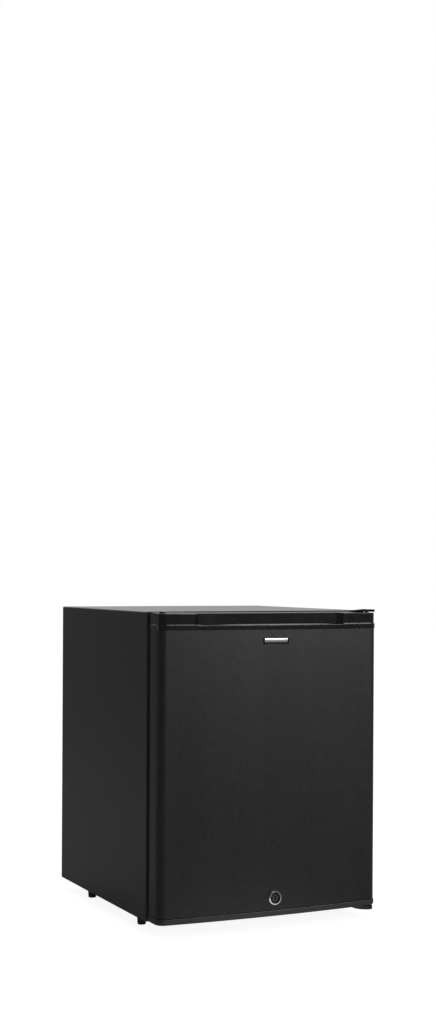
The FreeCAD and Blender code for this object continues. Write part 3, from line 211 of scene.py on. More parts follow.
def finish(name):
    """The material of that name: a fine pattern and a cloud mix its colours, and drive gloss and relief."""
    if name in bpy.data.materials:
        return bpy.data.materials[name]
    *shades, grain, (low, high), relief, sockets = FINISHES[name]
    colours = bpy.context.scene.fridge.colours
    dark, light = (getattr(colours, shade, None) or linear(shade) for shade in shades)
    pattern = PATTERNS.get(name, {})
    material = bpy.data.materials.new(name)
    tree = cleared(material)
    place = add(tree, "ShaderNodeTexCoord").outputs["Object"]
    kind, detail = pattern.get("kind", "ShaderNodeTexNoise"), pattern.get("detail", FINE_DETAIL)
    scale = per_metre(grain)
    fitted = add(tree, "ShaderNodeMapping", {"Vector": place, "Scale": scale})
    fine = add(tree, kind, {"Vector": fitted, "Scale": 1.0, "Detail": detail})
    fine = fine.outputs["Color" if kind == "ShaderNodeTexVoronoi" else "Fac"]
    scale = per_metre(pattern.get("cloud", CLOUD_SIZE))
    fitted = add(tree, "ShaderNodeMapping", {"Vector": place, "Scale": scale})
    cloud = add(tree, "ShaderNodeTexNoise", {"Vector": fitted, "Scale": 1.0, "Detail": CLOUD_DETAIL})
    spread = add(tree, "ShaderNodeMapRange", {"Value": fine, "From Min": FINE_LOW, "From Max": FINE_HIGH})
    blend = add(tree, "ShaderNodeMix", {"Factor": CLOUD_SHARE, "A": spread, "B": cloud})
    paint = add(tree, "ShaderNodeMix", {0: blend, 6: dark, 7: light}, data_type="RGBA")
    gloss = add(tree, "ShaderNodeMapRange", {"Value": blend, "To Min": low, "To Max": high})
    bump = add(tree, "ShaderNodeBump", {"Height": fine, "Distance": relief * MM})
    shader = add(tree, "ShaderNodeBsdfPrincipled", {"Base Color": paint, "Roughness": gloss, "Normal": bump,
                                                    **sockets})
    add(tree, "ShaderNodeOutputMaterial", {"Surface": shader})
    return material


# Surfaces

# Puts lists of numbers or of points end to end
join = np.concatenate


def ease(values):
    """0 below 0, 1 above 1, and an S curve between."""
    t = np.clip(values, 0, 1)
    return t * t * (3 - 2 * t)


def quarter(count):
    """Sine and one minus cosine of angles from 0 to a right angle, for rounding an edge."""
    angle = np.linspace(0, math.pi / 2, count)
    return np.sin(angle), 1 - np.cos(angle)


def middle(node, axes):
    """The middle of a solid's box along two axes."""
    low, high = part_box(node)
    return tuple((getattr(low, axis) + getattr(high, axis)) / 2 for axis in axes)


def grid_faces(rows, columns, wrap_rows, wrap_columns):
    """The four-sided faces of a grid of points, joined round where it wraps."""
    i = np.arange(rows if wrap_rows else rows - 1)
    j = np.arange(columns if wrap_columns else columns - 1)
    i, j = (a.ravel() for a in np.meshgrid(i, j, indexing="ij"))
    down, right = (i + 1) % rows, (j + 1) % columns
    corners = [i * columns + j, i * columns + right, down * columns + right, down * columns + j]
    return np.stack(corners, -1).tolist()


def loft(loops):
    """Closed loops of points, stacked: each row is one loop, and the first and last close as flat faces."""
    rows, columns = loops.shape[:2]
    faces = grid_faces(rows, columns, False, True)
    last = (rows - 1) * columns
    return loops.reshape(-1, 3), faces + [list(range(columns)), list(range(last, last + columns))]


def ring(loops):
    """Closed loops of points whose last joins its first again."""
    rows, columns = loops.shape[:2]
    return loops.reshape(-1, 3), grid_faces(rows, columns, True, True)


def rounded_rectangle(low, high, corner, count=8):
    """A closed loop of plan points: a quarter circle at each corner, from the high one round by the left."""
    radii = np.broadcast_to(corner, 4)
    side = np.array([(1, 1), (-1, 1), (-1, -1), (1, -1)])
    middles = np.where(side > 0, high, low) - side * radii[:, None]
    turns = (np.arange(4)[:, None] * math.pi / 2 + np.linspace(0, math.pi / 2, count)).ravel()
    way = np.stack([np.cos(turns), np.sin(turns)], -1)
    return np.repeat(middles, count, 0) + np.repeat(radii, count)[:, None] * way


def stacked(plans, levels, axis="Z", skin=loft):
    """Plan loops set at levels along an axis, as the rows of a grid that is skinned as a loft or a ring."""
    order = {"X": (2, 0, 1), "Y": (0, 2, 1), "Z": (0, 1, 2)}[axis]
    heights = np.broadcast_to(np.asarray(levels)[:, None, None], (*plans.shape[:2], 1))
    return skin(join([plans, heights], -1)[..., order])


def carried(section, start, end, axis):
    """A plan section carried straight along an axis from start to end."""
    return stacked(np.stack([section, section]), [start, end], axis)


# The smallest radius that a drawn in corner keeps
LEAST_CORNER = 0.05 * MM


def drawn_in(low, high, corner, insets):
    """A rounded rectangle drawn in by each inset, with its corners' radii drawn in as well."""
    corners = [np.maximum(np.subtract(corner, inset), LEAST_CORNER) for inset in insets]
    return np.stack([rounded_rectangle(np.add(low, inset), np.subtract(high, inset), drawn)
                     for inset, drawn in zip(insets, corners)])


# Points round a circle, and round one whose edge shows clearly
ROUND_COUNT, FINE_COUNT = 72, 96


def circles(radii, centre, count=ROUND_COUNT, flutes=0, press=0.0):
    """Loops round a centre, one for each radius, pressed in by a cosine wave where they are fluted."""
    angle = np.linspace(0, 2 * math.pi, count, endpoint=False)
    wave = np.multiply.outer(np.broadcast_to(press, len(radii)), (1 - np.cos(flutes * angle)) / 2)
    radius = np.asarray(radii)[:, None] - wave
    return np.asarray(centre) + np.stack([radius * np.cos(angle), radius * np.sin(angle)], -1)


def slab(low, high, corner, edge, axis="Z"):
    """A block: a rounded rectangle stacked along an axis, drawn in by a quarter circle at both ends."""
    u, v, w = {"X": (1, 2, 0), "Y": (0, 2, 1), "Z": (0, 1, 2)}[axis]
    sine, fall = quarter(6)
    insets = join([edge * (1 - sine), edge * fall])
    levels = join([low[w] + edge * fall, high[w] - edge * (1 - sine)])
    return stacked(drawn_in((low[u], low[v]), (high[u], high[v]), corner, insets), levels, axis)


def tray(low, high, wall, corner, edge):
    """An open tray: rounded rectangles that rise from a rounded floor, turn over the rim and go back in."""
    sine, fall = quarter(6)
    turn = np.linspace(0, math.pi, 9)
    insets = join([edge * (1 - sine), wall / 2 * (1 - np.cos(turn)), wall + edge * (1 - sine[::-1])])
    levels = join([low[2] + edge * fall, high[2] - wall / 2 * (1 - np.sin(turn)),
                   low[2] + wall + edge * fall[::-1]])
    return stacked(drawn_in(low[:2], high[:2], corner, insets), levels)


def upright(low, high, inset, corner, y):
    """A box's front as a rounded rectangle, drawn in by an inset and set upright at a depth."""
    plan = rounded_rectangle((low.x + inset, low.z + inset), (high.x - inset, high.z - inset), corner - inset)
    return np.stack([plan[:, 0], np.full(len(plan), y), plan[:, 1]], -1)


def put(name, mesh, node, finish_name):
    """One smooth object that stands for a solid, rides on its body and has its slot's finish or another."""
    mesh.shade_smooth()
    mesh.materials.append(finish(finish_name or SLOT_FINISH[SLOTS[node]]))
    made = show(name, mesh)
    if BODIES[node] == "door":
        bpy.data.collections[DOOR_PIECES].objects.link(made)
    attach(made, BODIES[node])
    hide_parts(node)
    return made


def piece(name, surfaces, node, finish_name=None, crease=35):
    """One object of closed surfaces, sharp where faces meet at more than the crease's angle in degrees."""
    mesh = bpy.data.meshes.new(name)
    points = join([surface[0] for surface in surfaces])
    starts = np.cumsum([0] + [len(surface[0]) for surface in surfaces])
    faces = [[index + start for index in face]
             for start, surface in zip(starts, surfaces) for face in surface[1]]
    mesh.from_pydata(points.tolist(), [], faces)
    shell = bmesh.new()
    shell.from_mesh(mesh)
    bmesh.ops.recalc_face_normals(shell, faces=shell.faces)
    shell.to_mesh(mesh)
    shell.free()
    made = put(name, mesh, node, finish_name)
    mesh.set_sharp_from_angle(angle=math.radians(crease))
    made.modifiers.new("flat_faces_stay_flat", "WEIGHTED_NORMAL").keep_sharp = True
    return made


def finish_above(mesh, height, finish_name):
    """Gives the faces whose middle lies above a height a second finish."""
    mesh.materials.append(finish(finish_name))
    middles = np.empty(3 * len(mesh.polygons))
    mesh.polygons.foreach_get("center", middles)
    mesh.polygons.foreach_set("material_index", (middles[2::3] > height).astype(int))


# Points of a solid's mesh closer than this are one point
SAME_POINT = 0.002 * MM
# In degrees: faces that meet at less than the first angle are one, and at more than the second get a bevel
SAME_FACE, BEVELLED = 1, 40


def softened(name, node, finish_name, width):
    """A merged copy of a solid whose edges are bevelled, for a form with windows or fused ribs."""
    mesh = bpy.data.meshes.new(name)
    shell = bmesh.new()
    shell.from_mesh(frame["nodes"][node].data)
    bmesh.ops.remove_doubles(shell, verts=shell.verts, dist=SAME_POINT)
    bmesh.ops.dissolve_limit(shell, angle_limit=math.radians(SAME_FACE), verts=shell.verts, edges=shell.edges)
    shell.to_mesh(mesh)
    shell.free()
    made = put(name, mesh, node, finish_name)
    bevel = made.modifiers.new("moulded_edges", "BEVEL")
    bevel.width = width
    bevel.segments = 3
    bevel.limit_method = "ANGLE"
    bevel.angle_limit = math.radians(BEVELLED)
    made.modifiers.new("flat_faces_stay_flat", "WEIGHTED_NORMAL")


# Settings

def length(name, description, millimetres):
    """A setting that is a length, given in millimetres."""
    return FloatProperty(name=name, description=description, default=millimetres * MM, unit="LENGTH",
                         subtype="DISTANCE", precision=5)


def strength(name, description, default):
    """A setting that is a light's strength."""
    return FloatProperty(name=name, description=description, default=default, min=0)


def colour(name, description, code):
    """A setting that is a colour, given as an sRGB hex value."""
    return FloatVectorProperty(name=name, description=description, default=linear(code), subtype="COLOR",
                               size=4, min=0, max=1)


class CabinetSettings(PropertyGroup):
    """Sizes of the cabinet's outer pieces"""
    bend: length("Casing bend", "Outer radius of the casing's two upper bends", 2.5)
    sheet: length("Casing sheet", "Thickness of the casing's sheet", 0.8)
    hinge_round: length("Hinge corner", "Radius of the hinges' inner front corner", 23)
    hinge_edge: length("Hinge edge", "Radius of the hinges' edges", 0.6)
    hinge_fall: length("Hinge fall", "How far the upper hinge's top slopes down to its inner side", 2.2)
    hinge_sink: length("Hinge sink", "How far the upper hinge's plate reaches below the roof", 1.5)
    rack_corner: length("Rack corner", "Radius of the racks' upright corners", 11)
    rack_wall: length("Rack wall", "Thickness of the racks' walls", 2)
    rack_floor: length("Rack floor", "Radius of the racks' lower edge", 5)


class DoorSettings(PropertyGroup):
    """Sizes of the door's outer pieces"""
    bow: length("Bow", "How far the door's middle stands in front of its sides", 9.1)
    corner: length("Corner radius", "Radius of the door's upright front corners", 14)
    skin: length("Skin", "Thickness of the door's sheet", 0.8)
    proud: length("Cap overhang", "How far the caps stand out from the sheet", 1)
    band: length("Band height", "Height of the top cap's lower band", 8.8)
    band_round: length("Band rounding", "Radius of the band's upper edge", 0.8)
    land_fall: length("Land fall", "How far the land behind the band's edge slopes down to the front", 1.1)
    step: length("Step", "How far the top cap's upper wall is set back", 2.2)
    crown_round: length("Crown rounding", "Radius of the top cap's upper edge", 0.6)
    roof_rise: length("Roof rise", "How far the top cap's roof rises to the back", 2.2)
    grip_x: length("Grip place", "The grip's middle, from the door's middle", -2.5)
    grip_end: length("Grip end", "From the door's side to the grip's rear wall", 73)
    grip_slant: length("Grip slant", "Length of the curve at each end of the grip", 10)
    grip_reach: length("Grip reach", "From the upper wall to the grip's rear wall", 13.5)
    grip_lip: length("Grip lip", "From the door's foremost line back to the trough", 7)
    grip_drop: length("Grip depth", "From the band's top to the trough's floor", 17)
    seam: length("Seam", "Height of the dark seam between the sheet and the bottom cap", 0.9)
    seam_depth: length("Seam depth", "Depth of that seam behind the bottom cap's face", 2.6)
    foot_round: length("Lower rounding", "Radius of the bottom cap's lower edge", 3)


class StageSettings(PropertyGroup):
    """Lamps and floor"""
    floor_colour: colour("Floor", "Colour of the floor", "909090")
    key_power: strength("Key lamp", "Power of the lamp in front on the right", 36)
    side_power: strength("Side lamp", "Power of the upright strip on the left", 2.6)
    top_power: strength("Top lamp", "Power of the lamp overhead", 22)
    sheen_power: strength("Sheen lamp", "Power of the soft panel that only the door mirrors", 64)
    room_light: strength("Room light", "Brightness of the room round the object", 0.65)


class ColourSettings(PropertyGroup):
    """The two colours of each finish that shows most"""
    coat_dark: colour("Casing, dark", "Darker colour of the casing's powder coat", "0c0c0d")
    coat_light: colour("Casing, light", "Lighter colour of the casing's powder coat", "161617")
    film_dark: colour("Door, dark", "Darker colour of the door's brushed film", "040405")
    film_light: colour("Door, light", "Lighter colour of the door's brushed film", "1d1d1f")
    lining_dark: colour("Lining, dark", "Darker colour of the cavity and the door's back", "dcdddb")
    lining_light: colour("Lining, light", "Lighter colour of the cavity and the door's back", "e6e7e5")


class FridgeSettings(PropertyGroup):
    """All settings of the fridge"""
    cabinet: PointerProperty(type=CabinetSettings, name="Cabinet",
                             description="Sizes of the cabinet's outer pieces")
    door: PointerProperty(type=DoorSettings, name="Door", description="Sizes of the door's outer pieces")
    colours: PointerProperty(type=ColourSettings, name="Colours",
                             description="The two colours of each finish that shows most")
    stage: PointerProperty(type=StageSettings, name="Stage", description="Lamps and floor")


# Door

# Rows of points up the door's sheet
PANEL_ROWS = 24
# Points on the door's plan: down each side, round each corner, along half the bow and at each end of the grip
SIDE_COUNT, CORNER_COUNT, BOW_COUNT, GRIP_COUNT = 12, 20, 60, 60
# How far the close points at an end of the grip reach to both sides of its curve
GRIP_INWARDS, GRIP_OUTWARDS = 14 * MM, 6 * MM


def door_path(door):
    """Plan of the door's front with its outward normals: side, corner arc, shallow bow, corner arc, side."""
    half, apex, back = PANEL_HIGH.x, PANEL_LOW.y, PANEL_HIGH.y
    reach = half - door.corner
    bow_radius = (half ** 2 + door.bow ** 2) / (2 * door.bow)
    hub = apex + bow_radius
    level = hub - math.sqrt((bow_radius - door.corner) ** 2 - reach ** 2)
    lean = math.atan2(reach, hub - level)
    side = np.linspace(back, level, SIDE_COUNT)[:-1]
    left = np.stack([np.full_like(side, -half), side], -1)
    turn = np.linspace(math.pi, 1.5 * math.pi - lean, CORNER_COUNT)[:-1]
    way = np.stack([np.cos(turn), np.sin(turn)], -1)
    corner = np.array([-reach, level]) + door.corner * way
    grip = half - door.grip_end
    ends = np.linspace(grip - GRIP_INWARDS, grip + door.grip_slant + GRIP_OUTWARDS, GRIP_COUNT)
    across = join([np.linspace(0, bow_radius * math.sin(lean), BOW_COUNT), ends])
    across = np.unique(np.round(join([across, -across]), 6))
    bow_way = np.stack([across / bow_radius, -np.sqrt(1 - (across / bow_radius) ** 2)], -1)
    bow = np.array([0, hub]) + bow_radius * bow_way
    mirror = np.array([-1, 1])
    side_way = np.broadcast_to([-1.0, 0.0], left.shape)
    points = [left, corner, bow, corner[::-1] * mirror, left[::-1] * mirror]
    normals = [side_way, way, bow_way, way[::-1] * mirror, side_way * mirror]
    return join(points), join(normals)


def plan_loop(path, inset, height):
    """The path drawn in along its normals, at one height."""
    points, normals = path
    flat = points - normals * inset
    return np.column_stack([flat, np.full(len(flat), height)])


class FRIDGE_OT_door_panel(Operator):
    """The bowed sheet: a thin upright strip carried along the door's plan"""
    bl_idname = "fridge.door_panel"
    bl_label = "Door panel"

    def execute(self, context):
        door = context.scene.fridge.door
        path = door_path(door)
        low, high = PANEL_LOW.z, PANEL_HIGH.z
        levels = np.linspace(low, high, PANEL_ROWS)
        outside = [plan_loop(path, 0, z) for z in levels]
        inside = [plan_loop(path, door.skin, z) for z in levels[::-1]]
        strip = np.stack(outside + inside, axis=1)
        piece("door_panel_sheet", [loft(strip)], "door_panel")
        return {"FINISHED"}


# The top cap's finer sizes
CAP_CHAMFER = 0.5 * MM  # at the band's foot
LIP_ROUND = 1.2 * MM  # radius of the grip's lip
TROUGH_ROUND = 2 * MM  # radius of the trough's floor
SIDE_STEP = 0.2 * MM  # step that is left at the door's sides
WALL_START = 0.3 * MM  # from the land up to the wall's foot
TROUGH_FADE = 8 * MM  # length over which the trough fades out at each end
ROOF_FADE = 12 * MM  # length over which the roof's rise fades out beside the hinge
HINGE_ROOM = 4 * MM  # between that and the hinge
RIDGE_INSET = 6 * MM  # from the roof's ridge line to the door's back
RIDGE_SHARE = 0.88  # length of the ridge line, as a share of the roof's
OUTER_FALL = 0.4  # share of the land's fall that is left outside the grip
FRONT_WAY = -0.9  # a normal's Y on the door's front, where the grip may be
STEP_FROM, STEP_OVER = 0.3, 0.65  # how far a normal faces the front where the step starts, and while it grows
ROOF_MARGIN = 0.1 * MM  # faces above this far below the roof's front are roof
LAND_SHARES = 0.1, 0.95  # places of the first and last loop between the land's edge and the wall
ROOF_SHARES = 0.1, 0.97, 9  # and of those between the crown and the ridge line, with their count


def top_cap_surface(door):
    """Loops of the door's plan from the band's foot over the crown to the roof.

    Outside the grip each loop is the plan drawn in by the band, the sloping land, the step, which fades out
    round the corners, and the crown's rounding. Along the grip the loops run on over the lip, down into the
    trough and up its rear wall, and an S curve joins the two at each end. The roof's loops shrink to a line
    near the back, and their height grows with their depth, except beside the hinge.
    """
    points, normals = door_path(door)
    x = points[:, 0]
    aside = np.abs(x - door.grip_x)
    low, high = PANEL_HIGH.z, TOP_CAP_HIGH.z
    band = low + door.band
    half = PANEL_HIGH.x - door.grip_end
    front = normals[:, 1] < FRONT_WAY
    scoop = front * (1 - ease((aside - half) / door.grip_slant))
    hollow = (front * (1 - ease((aside - half + TROUGH_FADE) / TROUGH_FADE)))[:, None]
    land_fall = door.land_fall * (OUTER_FALL + (1 - OUTER_FALL) * scoop)
    hinge_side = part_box("upper_hinge_bracket")[0].x - HINGE_ROOM
    rear = PANEL_LOW.y + door.step + door.grip_reach
    lip = PANEL_LOW.y + door.grip_lip
    floor = band - door.grip_drop
    loops = []

    def level(flat, z):
        loops.append(np.column_stack([flat, np.broadcast_to(z, len(flat))]))

    def roof(flat):
        depth = np.clip((flat[:, 1] - PANEL_LOW.y) / (PANEL_HIGH.y - PANEL_LOW.y), 0, 1)
        return high + door.roof_rise * depth * (1 - ease((flat[:, 0] - hinge_side) / ROOF_FADE + 1))

    level(points - normals * (CAP_CHAMFER - door.proud), low)
    level(points + normals * door.proud, low + CAP_CHAMFER)
    for sine, fall in zip(*quarter(7)):
        level(points - normals * (door.band_round * fall - door.proud),
              band - land_fall - door.band_round * (1 - sine))
    edge = points - normals * (door.band_round - door.proud)
    faces_front = ease((-normals[:, 1] - STEP_FROM) / STEP_OVER)[:, None]
    wall = points - normals * (door.step * faces_front + SIDE_STEP * (1 - faces_front))
    wall[:, 1] += scoop * (rear - wall[:, 1])
    along = np.gradient(wall, axis=0)
    along /= np.linalg.norm(along, axis=1)[:, None]
    out = np.stack([along[:, 1], -along[:, 0]], -1)
    sine, fall = quarter(6)
    trough_y = join([lip - LIP_ROUND + LIP_ROUND * sine, lip + TROUGH_ROUND * fall,
                     rear - TROUGH_ROUND + TROUGH_ROUND * sine, [rear]])
    trough_z = join([band - LIP_ROUND * fall, floor + TROUGH_ROUND * (1 - sine),
                     floor + TROUGH_ROUND * fall, [band - LIP_ROUND]])
    for share, y, z in zip(np.linspace(*LAND_SHARES, len(trough_y)), trough_y, trough_z):
        flat = edge + (wall - edge) * share
        sunk = np.column_stack([x, np.full_like(x, y)])
        land = band - land_fall[:, None] * (1 - share)
        level(flat * (1 - hollow) + sunk * hollow, (land * (1 - hollow) + z * hollow)[:, 0])
    level(wall, band + WALL_START)
    for sine, fall in zip(*quarter(7)):
        crown = wall - out * door.crown_round * fall
        level(crown, roof(crown) - door.crown_round * (1 - sine))
    ridge = np.column_stack([crown[:, 0] * RIDGE_SHARE, np.full_like(x, PANEL_HIGH.y - RIDGE_INSET)])
    for share in np.linspace(*ROOF_SHARES):
        flat = crown + (ridge - crown) * share
        level(flat, roof(flat))
    return loft(np.stack(loops))


class FRIDGE_OT_door_caps(Operator):
    """The moulded caps: the door's plan stacked up, drawn in where an edge is rounded or set back"""
    bl_idname = "fridge.door_caps"
    bl_label = "Door caps"

    def execute(self, context):
        door = context.scene.fridge.door
        cap = piece("door_top_cap_moulding", [top_cap_surface(door)], "door_top_cap")
        finish_above(cap.data, TOP_CAP_HIGH.z - ROOF_MARGIN, "etched_black_abs")
        self.stopper()
        self.bottom_cap(door)
        return {"FINISHED"}

    def stopper(self):
        """Circles stacked upwards: a peg, a flat rim and a rounded head."""
        low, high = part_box("hinge_stopper")
        sine, fall = quarter(7)
        wide, peg, chamfer, rim, dome = (high.x - low.x) / 2, 4 * MM, 0.3 * MM, 0.4 * MM, 2.2 * MM
        seat = TOP_CAP_HIGH.z
        radii = join([[peg, peg, wide - chamfer, wide], wide - dome * fall])
        levels = join([[low.z, seat, seat, seat + rim], high.z - dome * (1 - sine)])
        button = stacked(circles(radii, middle("hinge_stopper", "xy")), levels)
        piece("hinge_stopper_button", [button], "hinge_stopper")

    def bottom_cap(self, door):
        """The door's plan stacked up from a rounded lower edge to a shoulder, and set back in the seam."""
        low, high = BOTTOM_CAP_LOW.z, BOTTOM_CAP_HIGH.z
        sine, fall = quarter(7)
        path = door_path(door)
        radius, edge, shoulder = door.foot_round, 0.5 * MM, high - door.seam
        insets = join([radius * (1 - sine), edge * fall, [door.seam_depth] * 2]) - door.proud
        levels = join([low + radius * fall, shoulder - edge * (1 - sine), [shoulder, high]])
        loops = np.stack([plan_loop(path, inset, z) for inset, z in zip(insets, levels)])
        cap = piece("door_bottom_cap_moulding", [loft(loops)], "door_bottom_cap", "etched_black_abs")
        finish_above(cap.data, shoulder - edge, "polished_black_abs")


class FRIDGE_OT_badge(Operator):
    """The blank badge: rounded rectangles stacked forward, with a well, and a crowned bar along X in it"""
    bl_idname = "fridge.badge"
    bl_label = "Badge"

    def execute(self, context):
        corner, bevel, sink = 1.6 * MM, 0.35 * MM, 0.3 * MM
        crown_fall, bar_rise, bar_inset = 0.7 * MM, 2.6 * MM, 1 * MM
        sine, fall = quarter(5)
        outer, inner = (PLATE_LOW, PLATE_HIGH), (INLAY_LOW, INLAY_HIGH)
        front, back = PLATE_LOW.y, PLATE_HIGH.y + sink
        frame_loops = [upright(*outer, 0, corner, back)]
        frame_loops += [upright(*outer, bevel * f, corner, front + bevel * (1 - s))
                        for s, f in zip(sine, fall)]
        frame_loops += [upright(*inner, -bevel * (1 - s), corner / 2, front + bevel * f)
                        for s, f in zip(sine, fall)]
        frame_loops += [upright(*inner, 0, corner / 2, INLAY_HIGH.y)]
        piece("badge_frame_moulding", [loft(np.stack(frame_loops))], "badge_plate")
        share = np.linspace(0, 1, 17)
        lower, upper = INLAY_LOW.z + bar_rise, INLAY_HIGH.z
        depth = join([INLAY_LOW.y + crown_fall * np.abs(2 * share - 1) ** 3, [INLAY_HIGH.y] * 2])
        height = join([lower + share * (upper - lower), [upper, lower]])
        section = np.column_stack([depth, height])
        bar = carried(section, INLAY_LOW.x + bar_inset, INLAY_HIGH.x - bar_inset, "X")
        piece("badge_blank_inlay", [bar], "badge_inlay")
        return {"FINISHED"}


class FRIDGE_OT_lock(Operator):
    """The lock's bright ring: circles stacked along Y that round up to a crest and drop to a throat"""
    bl_idname = "fridge.lock"
    bl_label = "Lock"

    def execute(self, context):
        outer, crest, inner = (BEZEL_HIGH.x - BEZEL_LOW.x) / 2, 9.3 * MM, 8.6 * MM
        sink, rise, throat = 0.3 * MM, 2.6 * MM, 2.2 * MM
        front, back = BEZEL_LOW.y, BEZEL_HIGH.y + sink
        sine, fall = quarter(12)
        share = np.linspace(0, 1, 8)
        radius = join([[outer], outer - (outer - crest) * fall, crest + (inner - crest) * share, [inner]])
        along = join([[back], front + rise * (1 - sine), front + throat * ease(share), [back]])
        turned = stacked(circles(radius, middle("lock_bezel", "xz"), FINE_COUNT), along, "Y", ring)
        made = piece("lock_bezel_ring", [turned], "lock_bezel", crease=50)
        # The sheen lamp would whiten the ring's top
        bpy.data.collections[DOOR_PIECES].objects.unlink(made)
        return {"FINISHED"}


# The door seal's section: shares of its width and of its depth, round the foot and the bulb
SEAL_SECTION = ((0, 0), (0, 0.22), (0.12, 0.34), (0.3, 0.4), (0.2, 0.5), (0.17, 0.7), (0.25, 0.88),
                (0.4, 0.98), (0.5, 1), (0.6, 0.98), (0.75, 0.88), (0.83, 0.7), (0.8, 0.5), (0.7, 0.4),
                (0.88, 0.34), (1, 0.22), (1, 0))


class FRIDGE_OT_gasket(Operator):
    """The door seal: a foot and a round bulb carried round a rectangle with small corners"""
    bl_idname = "fridge.gasket"
    bl_label = "Door seal"

    def execute(self, context):
        width, corner, depth = 10 * MM, 12 * MM, GASKET_HIGH.y - GASKET_LOW.y
        loops = [upright(GASKET_LOW, GASKET_HIGH, across * width, corner, GASKET_LOW.y + forward * depth)
                 for across, forward in SEAL_SECTION]
        piece("door_seal", [ring(np.stack(loops))], "door_gasket", crease=60)
        return {"FINISHED"}


# Where the two ridges on the door's back start and end
RIDGE_BOTTOM, RIDGE_TOP = 86.8 * MM, 471.2 * MM


class FRIDGE_OT_door_back(Operator):
    """The door's formed back: a section with two ridges, carried upwards and rounded off at both ends"""
    bl_idname = "fridge.door_back"
    bl_label = "Door back"

    def execute(self, context):
        low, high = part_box("door_liner")
        rack_low, rack_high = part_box("bottle_rack_lower")
        face = rack_low.y
        reach, width, foot, crown, end = high.y - face, 8 * MM, 3 * MM, 3.5 * MM, 12 * MM
        sine, fall = quarter(7)
        rise_x = join([foot * (sine - 1), crown * fall])
        rise_h = join([foot * fall, reach - crown * (1 - sine)])
        x, h = [low.x], [0.0]
        for start in (rack_low.x - width, rack_high.x):
            x = join([x, start + rise_x, start + width - rise_x[::-1]])
            h = join([h, rise_h, rise_h[::-1]])
        x = join([x, [high.x, high.x, low.x]])
        h = join([h, [0.0, low.y - face, low.y - face]])
        round_off = np.linspace(0, 1, 9)
        levels = join([[low.z], RIDGE_BOTTOM + end * round_off, RIDGE_TOP - end * round_off[::-1],
                       [high.z]])
        share = np.sqrt(1 - (1 - round_off) ** 2)
        share = join([[0], share, share[::-1], [0]])[:, None]
        depth = face + np.where(h > 0, h * share, h)
        plans = np.stack([np.broadcast_to(x, depth.shape), depth], -1)
        piece("door_back_forming", [stacked(plans, levels)], "door_liner")
        return {"FINISHED"}


class FRIDGE_OT_racks(Operator):
    """The two bottle racks: moulded trays with rounded corners and rims"""
    bl_idname = "fridge.racks"
    bl_label = "Bottle racks"

    def execute(self, context):
        cabinet = context.scene.fridge.cabinet
        for node in ("bottle_rack_lower", "bottle_rack_upper"):
            low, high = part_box(node)
            rack = tray(low, high, cabinet.rack_wall, cabinet.rack_corner, cabinet.rack_floor)
            piece(node + "_tray", [rack], node)
        return {"FINISHED"}


# Cabinet

class FRIDGE_OT_casing(Operator):
    """The casing: a sheet's section with two bent upper corners, carried from front to back"""
    bl_idname = "fridge.casing"
    bl_label = "Casing"

    def execute(self, context):
        cabinet = context.scene.fridge.cabinet
        low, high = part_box("outer_casing")
        sine, fall = quarter(8)

        def path(inset):
            radius = cabinet.bend - inset
            x = low.x + inset + join([[0], radius * fall])
            z = join([[low.z], high.z - inset - radius * (1 - sine)])
            left = np.column_stack([x, z])
            return join([left, left[::-1] * (-1, 1)])

        section = join([path(0), path(cabinet.sheet)[::-1]])
        piece("casing_sheet", [carried(section, low.y, high.y, "Y")], "outer_casing")
        return {"FINISHED"}


class FRIDGE_OT_hinges(Operator):
    """The hinges: flat plates with a wide round inner corner and rounded edges, and a leg on the upper one"""
    bl_idname = "fridge.hinges"
    bl_label = "Hinges"

    def execute(self, context):
        cabinet = context.scene.fridge.cabinet
        edge, block_edge, shy = cabinet.hinge_edge, 2.2 * MM, 0.05 * MM
        outer_corner, leg_corner, block_corner, block_outer = 1.2 * MM, 4 * MM, 4 * MM, 5 * MM
        slope = 16 * MM
        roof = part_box("outer_casing")[1].z
        low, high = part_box("upper_hinge_bracket")
        thickness = high.z - roof
        plate = slab((low.x, low.y, roof - cabinet.hinge_sink), (high.x, high.y, high.z - shy),
                     (edge, edge, cabinet.hinge_round, outer_corner), edge)
        upper_half = plate[0][:, 2] > roof
        plate[0][:, 2] -= upper_half * cabinet.hinge_fall * (1 - ease((plate[0][:, 0] - low.x) / slope))
        leg = slab((low.x, high.y - thickness + shy, low.z), (high.x, high.y, roof),
                   (edge, edge, leg_corner, leg_corner), edge, "Y")
        piece("upper_hinge_angle", [plate, leg], "upper_hinge_bracket")
        low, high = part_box("lower_hinge_bracket")
        block = slab((low.x, low.y, low.z + shy), (high.x, high.y, high.z),
                     (block_corner, block_corner, cabinet.hinge_round, block_outer), block_edge)
        piece("lower_hinge_block", [block], "lower_hinge_bracket", "black_enamelled_steel")
        return {"FINISHED"}


# A foot above its tread: radius and height, up the taper, round the groove, over the collar and up the stud
FOOT = np.array([(7.8, 14.6), (7.4, 15), (7.4, 16), (7.9, 16.4), (8.25, 16.8), (8.25, 20.6), (7.9, 21),
                 (3, 21), (3, 29)]) * MM


class FRIDGE_OT_feet(Operator):
    """The four feet: circles stacked upwards, with a rounded tread, a slight taper, a groove and a stud"""
    bl_idname = "fridge.feet"
    bl_label = "Feet"

    def execute(self, context):
        sine, fall = quarter(6)
        tread, edge = 7 * MM, 1.5 * MM
        radii = join([tread - edge * (1 - sine), FOOT[:, 0]])
        levels = join([edge * fall, FOOT[:, 1]])
        for node in ("foot_front_left", "foot_front_right", "foot_rear_left", "foot_rear_right"):
            foot = stacked(circles(radii, middle(node, "xy")), levels)
            piece(node + "_moulding", [foot], node)
        return {"FINISHED"}


